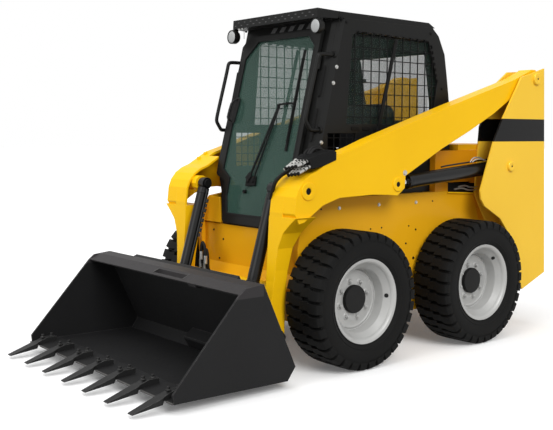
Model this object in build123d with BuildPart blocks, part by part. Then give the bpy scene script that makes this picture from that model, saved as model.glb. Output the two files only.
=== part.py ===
"""Compact wheeled skid steer loader with a low bucket, modelled in millimetres.

+X points forward, +Y to the machine's left and +Z up. The outlines are drawn from the
middle of the wheelbase, on the floor, and every finished piece is then shifted along X
so that the origin lies under the middle of the whole machine.
"""
from build123d import *
from math import cos, hypot, radians, sin
import os

os.makedirs("parts", exist_ok=True)

# ---------------------------------------------------------------- running gear
WHEELBASE = 1003.0
TYRE_RADIUS = 378.0  # out to the tips of the tread
TYRE_WIDTH = 264.0
TYRE_GAP = 20.0  # between the side plate of the frame and the tyre
LUG_COUNT = 26  # on each half of the tread
LUG_SHARE = 0.6  # of each lug's pitch round the tread
LUG_DEPTH = 21.0
LUG_STAGGER = 18.0  # half width of the band where the two rows of lugs meet
SHOULDER = 13.0  # how far the side wall bulges past the lugs' ends
BULGE_RADIUS = 316.0  # where the side wall is widest
SEAT_RADIUS = 212.0  # bead seat of the rim
RIM_WIDTH = 226.0
FLANGE_RADIUS = 231.0
FLANGE_DEPTH = 8.0
RIM_SHEET = 8.0
DISC_RADIUS = 169.0
DISC_INSET = 107.0  # from the rim's outer edge in to the face of its disc
DISC_THICK = 14.0
HUB_CAP_RADIUS = 76.0
HUB_CAP_LENGTH = 24.0
DISH_RADIUS = 177.0  # where the rim's deep barrel turns out to its flange
DISH_INSET = 52.0
RIM_SIDES = 16
AXLE_RADIUS = 35.0
AXLE_TUBE_RADIUS = 62.0
AXLE_REACH = 60.0  # from the side plate to the end of the axle inside its tube
SNUG = 0.3  # between pieces that only just touch
RUNNING = 0.6  # between a turning shaft and its hole
CLEAR = 8.0  # between pieces that pass each other
PIN_SIDES = 10  # flats of pins and bosses that needn't be round
TUBE_SIDES = 12

# ---------------------------------------------------------------- main frame
BODY_HALF = 480.0  # half width over the side plates
BELLY_Z = 210.0
FENDER_Z = 924.0
SILL_Z = 733.0
FLOOR_Z = 470.0
PANEL_X = 735.0  # front panel between the cheeks
PANEL_THICK = 12.0
TOE_X = 788.0
BAY_FRONT_X = -360.0
FRAME_REAR_X = -1190.0
FOOTWELL_HALF = 330.0
FOOTWELL_REAR_X = 120.0

# ---------------------------------------------------------------- towers
TOWER_INNER = BODY_HALF
TOWER_OUTER = TOWER_INNER + 160.0
TOWER_PLATE = 12.0
ARM_PIVOT = (-1140.0, 1640.0)
LIFT_BASE = (-885.0, 1076.0)
PIVOT_PIN_RADIUS = 28.0
PIVOT_BOSS_RADIUS = 36.0
BOSS_STAND = 14.0

# ---------------------------------------------------------------- lift arms
ARM_OUTER = TOWER_OUTER - 24.0
ARM_INNER = ARM_OUTER - 100.0
ARM_PLATE = 12.0
KNEE_INNER = 410.0
LEG_INNER = 405.0
LIFT_EYE = (132.0, 993.0)
TILT_TOP = (812.0, 979.0)
BUCKET_PIVOT = (910.0, 185.0)
CROSS_TUBE = (860.0, 420.0)
CROSS_TUBE_RADIUS = 48.0
BUCKET_PIN_RADIUS = 20.0
TILT_BOSS_RADIUS = 46.0
BOSS_LIP = 6.0
TILT_HOLE_RADIUS = 18.0
TILT_HOLE_DEPTH = 14.0
TAIL_RADIUS = 64.0

# ---------------------------------------------------------------- hydraulic cylinders
LIFT_Y = (ARM_OUTER + ARM_INNER) / 2
LIFT_BORE_RADIUS = 42.0
LIFT_ROD_RADIUS = 24.0
LIFT_TUBE_LENGTH = 900.0
TILT_Y = 335.0
TILT_BORE_RADIUS = 35.0
TILT_ROD_RADIUS = 20.0
TILT_TUBE_LENGTH = 550.0
EYE_WIDTH = 50.0
GLAND_LENGTH = 34.0
GLAND_STEP = 3.0
PIN_RADIUS = 20.0
TILT_EYE = (1005.0, 320.0)

# ---------------------------------------------------------------- cab
CAB_HALF = BODY_HALF - 40.0
CAB_WALL = 30.0
CAB_TOP = 1960.0
CAB_FLOOR = SILL_Z + SNUG
POST_LOW_X = 730.0  # front of the posts at the sill
POST_LEAN = 0.242  # forward run of the front posts for each unit down
CORNER = 50.0  # the posts' chamfer
LOW_CORNER = 105.0  # the same, below the knee of the front
KNEE_Z = 1005.0
CAB_REAR_X = -510.0
ROOF_THICK = 34.0
DOOR_LEFT = CAB_HALF - 88.0
DOOR_RIGHT = 48.0 - CAB_HALF
DOOR_THICK = 24.0
DOOR_GAP = 6.0
GLASS_THICK = 6.0
DOOR_BOTTOM = 741.0
DOOR_TOP = CAB_TOP - 92.0
DOOR_CHAMFER = 60.0  # takes the door's top corner past the work lamp

# ---------------------------------------------------------------- bucket
BUCKET_HALF = 770.0
BUCKET_PLATE = 12.0
BUCKET_HEEL = (1074.0, 46.0)
BUCKET_KINK = (1023.0, 113.0)
BUCKET_TOP = (1227.0, 553.0)
BUCKET_LIP = (1370.0, 516.0)
BUCKET_FRONT = (1744.0, 54.0)
STEP_SPAN = (-45.0, 243.0)  # foot slot in the lip
STEP_SLOT = (1316.0, 1352.0)
RIB_SPAN = (STEP_SPAN[1] + 72.0, STEP_SPAN[1] + 136.0)
POCKET_SPAN = (-93.0, 235.0)
TOOTH_COUNT = 7
TOOTH_SPAN = 2 * BUCKET_HALF - 183.0
TOOTH_TIP_X = 1920.0
TOOTH_WIDTH = 62.0

# ---------------------------------------------------------------- tail
TAIL_X = -1290.0
MIDDLE_X = (TOOTH_TIP_X + TAIL_X) / 2


def save(piece, label):
    """Shift a finished piece to the machine's own origin and write it."""
    finished = piece.part.moved(Location((-MIDDLE_X, 0, 0)))
    finished.label = label
    export_step(finished, f"parts/{label}.step")


def side_prism(points, y_low, y_high, radius=0, mode=Mode.ADD):
    """Prism with an outline of (x, z) points between two Y planes."""
    with BuildSketch(Plane.XZ.offset(-y_high)) as profile:
        with BuildLine():
            FilletPolyline(*points, radius=radius, close=True)
        make_face()
    extrude(profile.sketch, amount=y_high - y_low, mode=mode)


def front_prism(points, x_low, x_high, radius=0, mode=Mode.ADD):
    """Prism with an outline of (y, z) points between two X planes."""
    with BuildSketch(Plane.YZ.offset(x_low)) as profile:
        with BuildLine():
            FilletPolyline(*points, radius=radius, close=True)
        make_face()
    extrude(profile.sketch, amount=x_high - x_low, mode=mode)


def block(x_low, x_high, y_low, y_high, z_low, z_high, mode=Mode.ADD):
    """Box between six planes."""
    middle = ((x_low + x_high) / 2, (y_low + y_high) / 2, (z_low + z_high) / 2)
    with Locations(middle):
        Box(x_high - x_low, y_high - y_low, z_high - z_low, mode=mode)


def cross_pin(centre, radius, y_low, y_high, mode=Mode.ADD):
    """Cylinder along Y through an (x, z) centre."""
    with BuildSketch(Plane.XZ.offset(-y_high)) as profile:
        with Locations(centre):
            Circle(radius)
    extrude(profile.sketch, amount=y_high - y_low, mode=mode)


def flat_pin(centre, radius, y_low, y_high, mode=Mode.ADD, sides=PIN_SIDES):
    """Bar along Y with flats, where a round one would only add facets."""
    with BuildSketch(Plane.XZ.offset(-y_high)) as profile:
        with Locations(centre):
            RegularPolygon(radius, sides, major_radius=mode == Mode.ADD)
    extrude(profile.sketch, amount=y_high - y_low, mode=mode)


def mirrored(piece, label):
    """Save the opposite hand of a piece."""
    with BuildPart() as other:
        mirror(piece.part, about=Plane.XZ)
    save(other, label)


def post_x(z):
    """Front edge of the cab's posts at a height."""
    return POST_LOW_X - POST_LEAN * (z - SILL_Z)


LEAN_SCALE = hypot(1, POST_LEAN)


def leaning_prism(points, z_low, z_high, mode=Mode.ADD):
    """Prism of (y, depth behind the posts' front) points, leaning with the posts."""
    base = Plane(origin=(post_x(z_low), 0, z_low), x_dir=(0, 1, 0), z_dir=(-POST_LEAN, 0, 1))
    with BuildSketch(base) as profile:
        with BuildLine():
            Polyline(*points, close=True)
        make_face()
    extrude(profile.sketch, amount=(z_high - z_low) * LEAN_SCALE, mode=mode)


# ---------------------------------------------------------------- wheels
TYRE_INNER = BODY_HALF + TYRE_GAP
TYRE_OUTER = TYRE_INNER + TYRE_WIDTH
TYRE_MIDDLE = (TYRE_INNER + TYRE_OUTER) / 2
RIM_OUTER = TYRE_MIDDLE + RIM_WIDTH / 2 + 2
RIM_INNER = RIM_OUTER - RIM_WIDTH
DISC_FACE = RIM_OUTER - DISC_INSET
LUG_PITCH = 360 / LUG_COUNT
LUG_ARC = LUG_PITCH * LUG_SHARE
GAP_ARC = LUG_PITCH - LUG_ARC
LUG_RADIUS = TYRE_RADIUS / cos(radians(GAP_ARC / 2))  # the tyre stands on two lugs' corners
GROOVE_RADIUS = LUG_RADIUS - LUG_DEPTH
# the bead's corners clear the round seat between them
BEAD_RADIUS = (SEAT_RADIUS + SNUG) / cos(radians((LUG_PITCH + LUG_ARC) / 4))
BEAD_SHARE = (FLANGE_RADIUS + SNUG - BEAD_RADIUS) / (BULGE_RADIUS - FLANGE_RADIUS - SNUG)
OUTER_ROW = -90 + GAP_ARC / 2
INNER_ROW = -90 - LUG_ARC / 2


def bead_y(bulge_y, flange_y):
    """Where a side wall that just clears the rim's flange comes down to the seat."""
    return flange_y + (flange_y - bulge_y) * BEAD_SHARE


def corner_ring(axle_x, y, spokes):
    """Corners at one Y, from (angle, radius) spokes round an axle."""
    corners = []
    for angle, radius in spokes:
        turn = radians(angle)
        corners.append(Vector(axle_x + radius * cos(turn), y, TYRE_RADIUS + radius * sin(turn)))
    return corners


def tread_ring(axle_x, y, row, lug_radius, groove_radius):
    """Corners round the tyre: each lug's two flanks, from the groove to its top."""
    spokes = []
    for index in range(LUG_COUNT):
        start = row + index * LUG_PITCH
        end = start + LUG_ARC
        spokes += [(start, groove_radius), (start, lug_radius), (end, lug_radius), (end, groove_radius)]
    return corner_ring(axle_x, y, spokes)


def flat_faces(corners):
    """One face through the corners, or two where they don't lie in a plane."""
    kept = [spot for index, spot in enumerate(corners) if (spot - corners[index - 1]).length > 0.001]
    if len(kept) < 3:
        return []
    if len(kept) == 4:
        lift = (kept[1] - kept[0]).cross(kept[2] - kept[0]).dot(kept[3] - kept[0])
        if abs(lift) > 0.1:
            halves = (kept[:3], [kept[0], *kept[2:]])
            return [Face(Wire.make_polygon(half)) for half in halves]
    return [Face(Wire.make_polygon(kept))]


def ringed_solid(rings):
    """Solid whose skin joins each ring of corners to the next, and the last to the first."""
    faces = []
    for ring, following in zip(rings, [*rings[1:], rings[0]]):
        for index in range(len(ring)):
            corners = [ring[index - 1], ring[index], following[index], following[index - 1]]
            faces += flat_faces(corners)
    return Solid(Shell(faces))


def tyre_solid(axle_x):
    """Left tyre with two staggered rows of lugs that run out into its side walls."""
    inner_bead = bead_y(TYRE_INNER, RIM_INNER + FLANGE_DEPTH + SNUG)
    outer_bead = bead_y(TYRE_OUTER, RIM_OUTER - FLANGE_DEPTH - SNUG)
    rings = [
        tread_ring(axle_x, inner_bead, INNER_ROW, BEAD_RADIUS, BEAD_RADIUS),
        tread_ring(axle_x, TYRE_INNER, INNER_ROW, BULGE_RADIUS, BULGE_RADIUS),
        tread_ring(axle_x, TYRE_INNER + SHOULDER, INNER_ROW, LUG_RADIUS, GROOVE_RADIUS),
        tread_ring(axle_x, TYRE_MIDDLE - LUG_STAGGER, INNER_ROW, LUG_RADIUS, GROOVE_RADIUS),
        tread_ring(axle_x, TYRE_MIDDLE + LUG_STAGGER, OUTER_ROW, LUG_RADIUS, GROOVE_RADIUS),
        tread_ring(axle_x, TYRE_OUTER - SHOULDER, OUTER_ROW, LUG_RADIUS, GROOVE_RADIUS),
        tread_ring(axle_x, TYRE_OUTER, OUTER_ROW, BULGE_RADIUS, BULGE_RADIUS),
        tread_ring(axle_x, outer_bead, OUTER_ROW, BEAD_RADIUS, BEAD_RADIUS),
    ]
    return ringed_solid(rings)


RIM_SECTION = [
    (DISC_FACE, HUB_CAP_RADIUS / 2),
    (DISC_FACE, DISC_RADIUS),
    (RIM_OUTER - DISH_INSET, DISH_RADIUS),
    (RIM_OUTER - 3 * FLANGE_DEPTH, SEAT_RADIUS - RIM_SHEET),
    (RIM_OUTER, FLANGE_RADIUS - RIM_SHEET),
    (RIM_OUTER, FLANGE_RADIUS),
    (RIM_OUTER - FLANGE_DEPTH, FLANGE_RADIUS),
    (RIM_OUTER - FLANGE_DEPTH, SEAT_RADIUS),
    (RIM_INNER + FLANGE_DEPTH, SEAT_RADIUS),
    (RIM_INNER + FLANGE_DEPTH, FLANGE_RADIUS),
    (RIM_INNER, FLANGE_RADIUS),
    (RIM_INNER, SEAT_RADIUS - RIM_SHEET),
    (DISC_FACE - DISC_THICK, DISC_RADIUS - RIM_SHEET),
    (DISC_FACE - DISC_THICK, HUB_CAP_RADIUS / 2),
]


def rim_solid(axle_x):
    """Left rim: flanges, barrel and dished disc."""
    angles = [index * 360 / RIM_SIDES for index in range(RIM_SIDES)]
    rings = [
        corner_ring(axle_x, y, [(angle, radius) for angle in angles])
        for y, radius in RIM_SECTION
    ]
    return ringed_solid(rings)


# name, place of the axle along X, side of the machine
WHEELS = [
    ("front_left", WHEELBASE / 2, 1),
    ("front_right", WHEELBASE / 2, -1),
    ("rear_left", -WHEELBASE / 2, 1),
    ("rear_right", -WHEELBASE / 2, -1),
]
for wheel, axle_x, side in WHEELS:
    with BuildPart() as tyre:
        add(tyre_solid(axle_x))
        if side < 0:
            mirror(about=Plane.XZ, mode=Mode.REPLACE)
    save(tyre, f"tyre_{wheel}")
    with BuildPart() as rim:
        add(rim_solid(axle_x))
        centre = (axle_x, TYRE_RADIUS)
        low, high = DISC_FACE - DISC_THICK, DISC_FACE + HUB_CAP_LENGTH
        flat_pin(centre, HUB_CAP_RADIUS, low, high, sides=RIM_SIDES)
        cross_pin(centre, AXLE_RADIUS, BODY_HALF + AXLE_REACH, DISC_FACE - DISC_THICK / 2)
        if side < 0:
            mirror(about=Plane.XZ, mode=Mode.REPLACE)
    save(rim, f"rim_{wheel}")

with BuildPart() as axle_tubes:
    for wheel, axle_x, side in WHEELS:
        centre = (axle_x, TYRE_RADIUS)
        y_end = DISC_FACE - DISC_THICK - CLEAR
        low, high = sorted((side * BODY_HALF, side * y_end))
        flat_pin(centre, AXLE_TUBE_RADIUS, low, high)
        low, high = sorted((side * (BODY_HALF + AXLE_REACH - CLEAR), side * y_end))
        flat_pin(centre, AXLE_RADIUS + RUNNING, low, high, Mode.SUBTRACT)
save(axle_tubes, "axle_tubes")

# ---------------------------------------------------------------- main frame
CHEEK_INNER = CAB_HALF + 2
CAB_LOW_REAR_X = -340.0
BULKHEAD = 14.0
FLOOR_THICK = 30.0
FRAME_SIDE = [
    (476, FENDER_Z),
    (683, 892),
    (717, 843),
    (751, SILL_Z),
    (765, 650),
    (752, 481),
    (742, 330),
    (660, BELLY_Z),
    (-1060, BELLY_Z),
    (FRAME_REAR_X, 300),
    (FRAME_REAR_X, 720),
    (-777, 728),
    (-706, FENDER_Z),
]
FRAME_MIDDLE = [
    (PANEL_X, SILL_Z),
    (PANEL_X, 500),
    (TOE_X, 432),
    (TOE_X, 405),
    (PANEL_X, 330),
    (660, BELLY_Z),
    (-1060, BELLY_Z),
    (FRAME_REAR_X, 300),
    (FRAME_REAR_X, 340),
    (-1050, BELLY_Z + FLOOR_THICK),
    (BAY_FRONT_X, BELLY_Z + FLOOR_THICK),
    (BAY_FRONT_X, FENDER_Z),
    (BAY_FRONT_X + BULKHEAD, FENDER_Z),
    (BAY_FRONT_X + BULKHEAD, SILL_Z),
]
with BuildPart() as main_frame:
    side_prism(FRAME_MIDDLE, -CHEEK_INNER, CHEEK_INNER)
    # footwell
    block(
        FOOTWELL_REAR_X, PANEL_X - PANEL_THICK, -FOOTWELL_HALF, FOOTWELL_HALF,
        FLOOR_Z, SILL_Z + 1, Mode.SUBTRACT,
    )
save(main_frame, "main_frame")

# the side panels turn in beside the foot of the door
CORNER_PANEL = [(262, SILL_Z + 4), (328, 888), (CHEEK_INNER + 3, 888), (CHEEK_INNER + 3, SILL_Z + 4)]
CORNER_PANEL_GAP = 4.0
CORNER_PANEL_THICK = 12.0
with BuildPart() as side_panel_left:
    side_prism(FRAME_SIDE, CHEEK_INNER, BODY_HALF)
    panel_plane = Plane(
        origin=(post_x(0) + CORNER_PANEL_GAP, 0, 0), x_dir=(0, 1, 0), z_dir=(1, 0, POST_LEAN)
    )
    with BuildSketch(panel_plane):
        with BuildLine():
            Polyline(*[(y, z * LEAN_SCALE) for y, z in CORNER_PANEL], close=True)
        make_face()
    extrude(amount=CORNER_PANEL_THICK)
save(side_panel_left, "side_panel_left")
mirrored(side_panel_left, "side_panel_right")

HOUSING_TOP = 1178.0
HOUSING_REAR_X = -1190.0
HOUSING_WALL = 14.0
HOUSING_SLOT = [(-450, 978), (-690, 978), (-690, 925), (-560, 950)]
with BuildPart() as engine_housing:
    outline = [
        (BAY_FRONT_X + BULKHEAD, FENDER_Z),
        (BAY_FRONT_X + BULKHEAD, HOUSING_TOP),
        (HOUSING_REAR_X, HOUSING_TOP),
        (HOUSING_REAR_X, 720),
        (-777, 728),
        (-706, FENDER_Z),
    ]
    side_prism(outline, -BODY_HALF, BODY_HALF)
    bay_half = BODY_HALF - HOUSING_WALL
    block(TAIL_X, BAY_FRONT_X, -bay_half, bay_half, 600, HOUSING_TOP + 1, Mode.SUBTRACT)
    side_prism(HOUSING_SLOT, -BODY_HALF, BODY_HALF, mode=Mode.SUBTRACT)
save(engine_housing, "engine_housing")

ENGINE_HALF = 230.0
ENGINE_TOP = 860.0
ENGINE_REAR_X = FRAME_REAR_X + 150.0
ENGINE_FRONT_X = BAY_FRONT_X - 140.0
with BuildPart() as engine_block:
    block(
        ENGINE_REAR_X, ENGINE_FRONT_X, -ENGINE_HALF, ENGINE_HALF, BELLY_Z + FLOOR_THICK, ENGINE_TOP,
    )
save(engine_block, "engine_block")

# ---------------------------------------------------------------- towers
TOWER_TOP_X = TAIL_X + 65.0  # the towers lean forward up to this
TOWER_TOP = 1712.0
TOWER_FOOT = 353.0
TOWER_SIDE = [
    (TOWER_TOP_X, TOWER_TOP),
    (-983, 1645),
    (-796, 1379),
    (-709, 1233),
    (-588, 929),
    (-598, 875),
    (-634, 830),
    (-794, 745),
    (-889, 639),
    (-1044, 262),
    (TAIL_X, TOWER_FOOT),
]
TOWER_INSIDE = [
    (-1240, 1700),
    (-1035, 1686),
    (-930, 1616),
    (-760, 1330),
    (-720, 900),
    (-889, 639),
    (-1044, 262),
    (TAIL_X, TOWER_FOOT),
]
with BuildPart() as tower_left:
    side_prism(TOWER_SIDE, TOWER_OUTER - TOWER_PLATE, TOWER_OUTER)
    side_prism(TOWER_INSIDE, TOWER_INNER, TOWER_INNER + TOWER_PLATE)
    rear = [
        (TOWER_TOP_X, TOWER_TOP - 22),
        (TOWER_TOP_X + TOWER_PLATE, TOWER_TOP - 22),
        (TAIL_X + TOWER_PLATE, TOWER_FOOT),
        (TAIL_X, TOWER_FOOT),
    ]
    side_prism(rear, TOWER_INNER, TOWER_OUTER)
    foot = [(-1044, 262), (-1040, 275), (TAIL_X, TOWER_FOOT + 13), (TAIL_X, TOWER_FOOT)]
    side_prism(foot, TOWER_INNER, TOWER_OUTER)
    flat_pin(ARM_PIVOT, PIVOT_PIN_RADIUS, TOWER_INNER, TOWER_OUTER)
    flat_pin(ARM_PIVOT, PIVOT_BOSS_RADIUS, TOWER_OUTER - 1, TOWER_OUTER + BOSS_STAND)
    flat_pin(LIFT_BASE, PIN_RADIUS, TOWER_INNER, TOWER_OUTER)
    flat_pin(LIFT_BASE, PIVOT_BOSS_RADIUS - 6, TOWER_OUTER - 1, TOWER_OUTER + BOSS_STAND)
save(tower_left, "tower_left")
mirrored(tower_left, "tower_right")

TIE_RADIUS = 22.0
TIE_SPACING = 640.0
TIE_Z = 378.0
BEAM_TOP = 415.0
BEAM_BOTTOM = 340.0
BOLT_SPACING_Y = 300.0
BOLT_SPACING_Z = 36.0
BOLT_RADIUS = 8.0
with BuildPart() as rear_beam:
    outline = [
        (TAIL_X, BEAM_BOTTOM),
        (TAIL_X, BEAM_TOP),
        (FRAME_REAR_X, BEAM_TOP),
        (FRAME_REAR_X, 317),
    ]
    side_prism(outline, -TOWER_INNER, TOWER_INNER)
    with BuildSketch(Plane.YZ.offset(TAIL_X)):
        with Locations((-TIE_SPACING / 2, TIE_Z), (TIE_SPACING / 2, TIE_Z)):
            Circle(TIE_RADIUS)
        with Locations((0, TIE_Z)):
            with GridLocations(BOLT_SPACING_Y, BOLT_SPACING_Z, 2, 2):
                Circle(BOLT_RADIUS)
    extrude(amount=FRAME_REAR_X - TAIL_X, mode=Mode.SUBTRACT)
save(rear_beam, "rear_beam")

DOOR_REAR_X = -1236.0
DOOR_DEPTH = 40.0
KNUCKLE_RADIUS = 9.0
DOOR_HINGE = (DOOR_REAR_X, -(TOWER_INNER - SNUG - KNUCKLE_RADIUS))
REAR_DOOR_HALF = TOWER_INNER - 12.0
LOUVRE_COUNT = 7
LOUVRE_PITCH = 52.0
LOUVRE_GAP = 26.0
LOUVRE_DEPTH = 22.0
LOUVRE_HALF = 330.0
LOUVRE_LOW_Z = 640.0
REAR_DOOR_LOW = BEAM_TOP + CLEAR
REAR_DOOR_TOP = HOUSING_TOP - 13.0
KNUCKLE_LENGTH = 90.0
with BuildPart() as rear_door:
    block(DOOR_REAR_X, DOOR_REAR_X + DOOR_DEPTH, -REAR_DOOR_HALF, REAR_DOOR_HALF, REAR_DOOR_LOW, REAR_DOOR_TOP)
    for z_low in (520, 960):
        with BuildSketch(Plane.XY.offset(z_low)):
            with Locations(DOOR_HINGE):
                Circle(KNUCKLE_RADIUS)
        extrude(amount=KNUCKLE_LENGTH)
    # louvres of the radiator
    for index in range(LOUVRE_COUNT):
        z = LOUVRE_LOW_Z + index * LOUVRE_PITCH
        block(
            DOOR_REAR_X, DOOR_REAR_X + LOUVRE_DEPTH, -LOUVRE_HALF, LOUVRE_HALF,
            z, z + LOUVRE_GAP, Mode.SUBTRACT,
        )
save(rear_door, "rear_door")

HOOD_FRONT_X = -566.0
HOOD_TOP = 1215.0
HOOD_KNUCKLE_RADIUS = 9.0
HOOD_HINGE = (HOOD_FRONT_X + 4, HOUSING_TOP + SNUG + HOOD_KNUCKLE_RADIUS)
with BuildPart() as engine_hood:
    hood_z = HOUSING_TOP + SNUG
    outline = [(HOOD_FRONT_X, hood_z), (HOOD_FRONT_X, HOOD_TOP), (-1150, HOOD_TOP), (DOOR_REAR_X, hood_z)]
    side_prism(outline, 6 - BODY_HALF, BODY_HALF - 6)
    for side in (1, -1):
        low, high = sorted((side * 220, side * 340))
        cross_pin(HOOD_HINGE, HOOD_KNUCKLE_RADIUS, low, high)
save(engine_hood, "engine_hood")

# ---------------------------------------------------------------- cab
ROOF_LOW = CAB_TOP - ROOF_THICK
CAB_FOOT_Z = 1186.0  # the cab stands over the engine housing behind this height
INSIDE_HALF = CAB_HALF - CAB_WALL
CAB_BACK = [
    (-345, ROOF_LOW),
    (-402, CAB_TOP - 81),
    (-460, CAB_TOP - 189),
    (-488, CAB_TOP - 341),
    (CAB_REAR_X, CAB_TOP - 480),
    (-524, CAB_FOOT_Z),
]
CAB_SIDE = [
    (post_x(CAB_FLOOR), CAB_FLOOR),
    (post_x(ROOF_LOW), ROOF_LOW),
    *CAB_BACK,
    (CAB_LOW_REAR_X, CAB_FOOT_Z),
    (CAB_LOW_REAR_X, CAB_FLOOR),
]
SIDE_WINDOW = [
    (333, CAB_TOP - 123),
    (281, CAB_TOP - 100),
    (-312, CAB_TOP - 117),
    (-395, CAB_TOP - 365),
    (-353, 1341),
    (375, 1335),
]
LOW_WINDOW = [(300, 1283), (520, 1283), (520, 1074), (300, 1074)]
FRONT_HALF = CAB_HALF - CORNER
LOW_FRONT_HALF = CAB_HALF - LOW_CORNER


def corner_line(front_half, y):
    """Depth behind the posts' front of a chamfer that starts at front_half."""
    return (y - front_half) / LEAN_SCALE


def corner_wedge(front_half):
    """Outline of all that a corner's chamfer takes off."""
    start, end = front_half - 10, CAB_HALF + 10
    return [(start, corner_line(front_half, start)), (end, -10), (end, corner_line(front_half, end))]


with BuildPart() as cab_side_left:
    side_prism(CAB_SIDE, INSIDE_HALF, CAB_HALF)
    side_prism(SIDE_WINDOW, INSIDE_HALF, CAB_HALF, mode=Mode.SUBTRACT)
    side_prism(LOW_WINDOW, INSIDE_HALF, CAB_HALF, mode=Mode.SUBTRACT)
    leaning_prism(corner_wedge(FRONT_HALF), 600, CAB_TOP + 100, Mode.SUBTRACT)
    leaning_prism(corner_wedge(LOW_FRONT_HALF), 600, KNEE_Z, Mode.SUBTRACT)
save(cab_side_left, "cab_side_left")
mirrored(cab_side_left, "cab_side_right")

with BuildPart() as cab_roof:
    outline = [
        (post_x(CAB_TOP), CAB_TOP),
        (-309, CAB_TOP - 6),
        (-365, ROOF_LOW),
        (post_x(ROOF_LOW), ROOF_LOW),
    ]
    side_prism(outline, -CAB_HALF, CAB_HALF)
save(cab_roof, "cab_roof")

REAR_WINDOW_HALF = 300.0
REAR_WINDOW_LOW = 1330.0
REAR_WINDOW_TOP = CAB_TOP - 180.0
with BuildPart() as cab_rear:
    outline = CAB_BACK + [(x + CAB_WALL, z) for x, z in reversed(CAB_BACK)]
    side_prism(outline, -INSIDE_HALF, INSIDE_HALF)
    block(-700, -300, -REAR_WINDOW_HALF, REAR_WINDOW_HALF, REAR_WINDOW_LOW, REAR_WINDOW_TOP, Mode.SUBTRACT)
save(cab_rear, "cab_rear")

FRAME_DEPTH = 40.0
DOORWAY = [
    (-200, CAB_FLOOR + 38),
    (-256, 905),
    (-258, 1000),
    (DOOR_RIGHT + 30, 1045),
    (DOOR_RIGHT + 42, DOOR_TOP - 20 - DOOR_CHAMFER),
    (DOOR_RIGHT + 42 + DOOR_CHAMFER, DOOR_TOP - 20),
    (DOOR_LEFT - 22, DOOR_TOP - 20),
    (DOOR_LEFT - 22, 1045),
    (258, 1000),
    (256, 905),
    (200, CAB_FLOOR + 38),
]
FRONT_OUTLINE = [
    (-262, CAB_FLOOR),
    (-345, 928),
    (-FRONT_HALF, KNEE_Z),
    (-INSIDE_HALF, KNEE_Z),
    (-INSIDE_HALF, ROOF_LOW),
    (INSIDE_HALF, ROOF_LOW),
    (INSIDE_HALF, KNEE_Z),
    (FRONT_HALF, KNEE_Z),
    (345, 928),
    (262, CAB_FLOOR),
]
with BuildPart() as cab_front_frame:
    outline = [
        (post_x(CAB_FLOOR), CAB_FLOOR),
        (post_x(ROOF_LOW), ROOF_LOW),
        (post_x(ROOF_LOW) - FRAME_DEPTH, ROOF_LOW),
        (post_x(CAB_FLOOR) - FRAME_DEPTH, CAB_FLOOR),
    ]
    side_prism(outline, -INSIDE_HALF, INSIDE_HALF)
    front_prism(FRONT_OUTLINE, 300, 900, mode=Mode.INTERSECT)
    front_prism(DOORWAY, 300, 900, mode=Mode.SUBTRACT)
    for side in (1, -1):
        # walls that run back from the narrow foot of the front to the sides
        inner, outer = LOW_FRONT_HALF, INSIDE_HALF - SNUG
        depth = corner_line(inner, outer)
        wall = [(inner, 0), (outer, depth), (outer, depth + FRAME_DEPTH), (inner, FRAME_DEPTH)]
        leaning_prism([(side * y, d) for y, d in wall], CAB_FLOOR + 32, KNEE_Z + 8)
        shelf = [(inner, 0), (outer, 0), (outer, depth + FRAME_DEPTH), (inner, FRAME_DEPTH)]
        leaning_prism([(side * y, d) for y, d in shelf], KNEE_Z + 4, KNEE_Z + 16)
        wedge = corner_wedge(FRONT_HALF)
        leaning_prism([(side * y, d) for y, d in wedge], 600, CAB_TOP + 100, Mode.SUBTRACT)
save(cab_front_frame, "cab_front_frame")

VISOR_BOTTOM = CAB_TOP - 39.0
VISOR_FRONT_X = 560.0
with BuildPart() as cab_visor:
    outline = [
        (post_x(CAB_TOP) + SNUG, CAB_TOP),
        (VISOR_FRONT_X - 5, CAB_TOP + 14),
        (VISOR_FRONT_X, VISOR_BOTTOM),
        (post_x(VISOR_BOTTOM) + SNUG, VISOR_BOTTOM),
    ]
    side_prism(outline, -CAB_HALF, CAB_HALF)
    with BuildSketch(Plane.XY.offset(VISOR_BOTTOM - 10)) as corners:
        for side in (1, -1):
            with BuildLine():
                Polyline(
                    (post_x(CAB_TOP), side * CAB_HALF),
                    (VISOR_FRONT_X, side * FRONT_HALF),
                    (VISOR_FRONT_X + 10, side * FRONT_HALF),
                    (VISOR_FRONT_X + 10, side * (CAB_HALF + 10)),
                    (post_x(CAB_TOP), side * (CAB_HALF + 10)),
                    close=True,
                )
            make_face()
    extrude(corners.sketch, amount=100, mode=Mode.SUBTRACT)
save(cab_visor, "cab_visor")

with BuildPart() as cab_glass:
    for side in (1, -1):
        low, high = sorted((side * (CAB_HALF - 16), side * (CAB_HALF - 16 - GLASS_THICK)))
        side_prism(SIDE_WINDOW, low, high)
    rear_x = CAB_REAR_X + CAB_WALL + 10
    block(
        rear_x, rear_x + GLASS_THICK, -REAR_WINDOW_HALF, REAR_WINDOW_HALF,
        REAR_WINDOW_LOW, REAR_WINDOW_TOP,
    )
save(cab_glass, "cab_glass")

SCREEN_PITCH = 66.0
SCREEN_BAR = 5.0
SCREEN_DEPTH = 4.0  # from the side's outer face in to the upright bars


def screen_bars(outer_y, upright):
    """Parallel bars of a window screen, from an outer face in."""
    count = int(800 / SCREEN_PITCH)
    for index in range(count):
        if upright:
            x = SIDE_WINDOW[3][0] + (index + 0.6) * SCREEN_PITCH
            block(x, x + SCREEN_BAR, outer_y - SCREEN_BAR, outer_y, 1300, CAB_TOP)
        else:
            z = 1335 + (index + 0.6) * SCREEN_PITCH
            block(-500, 500, outer_y - SCREEN_BAR, outer_y, z, z + SCREEN_BAR)


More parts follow.
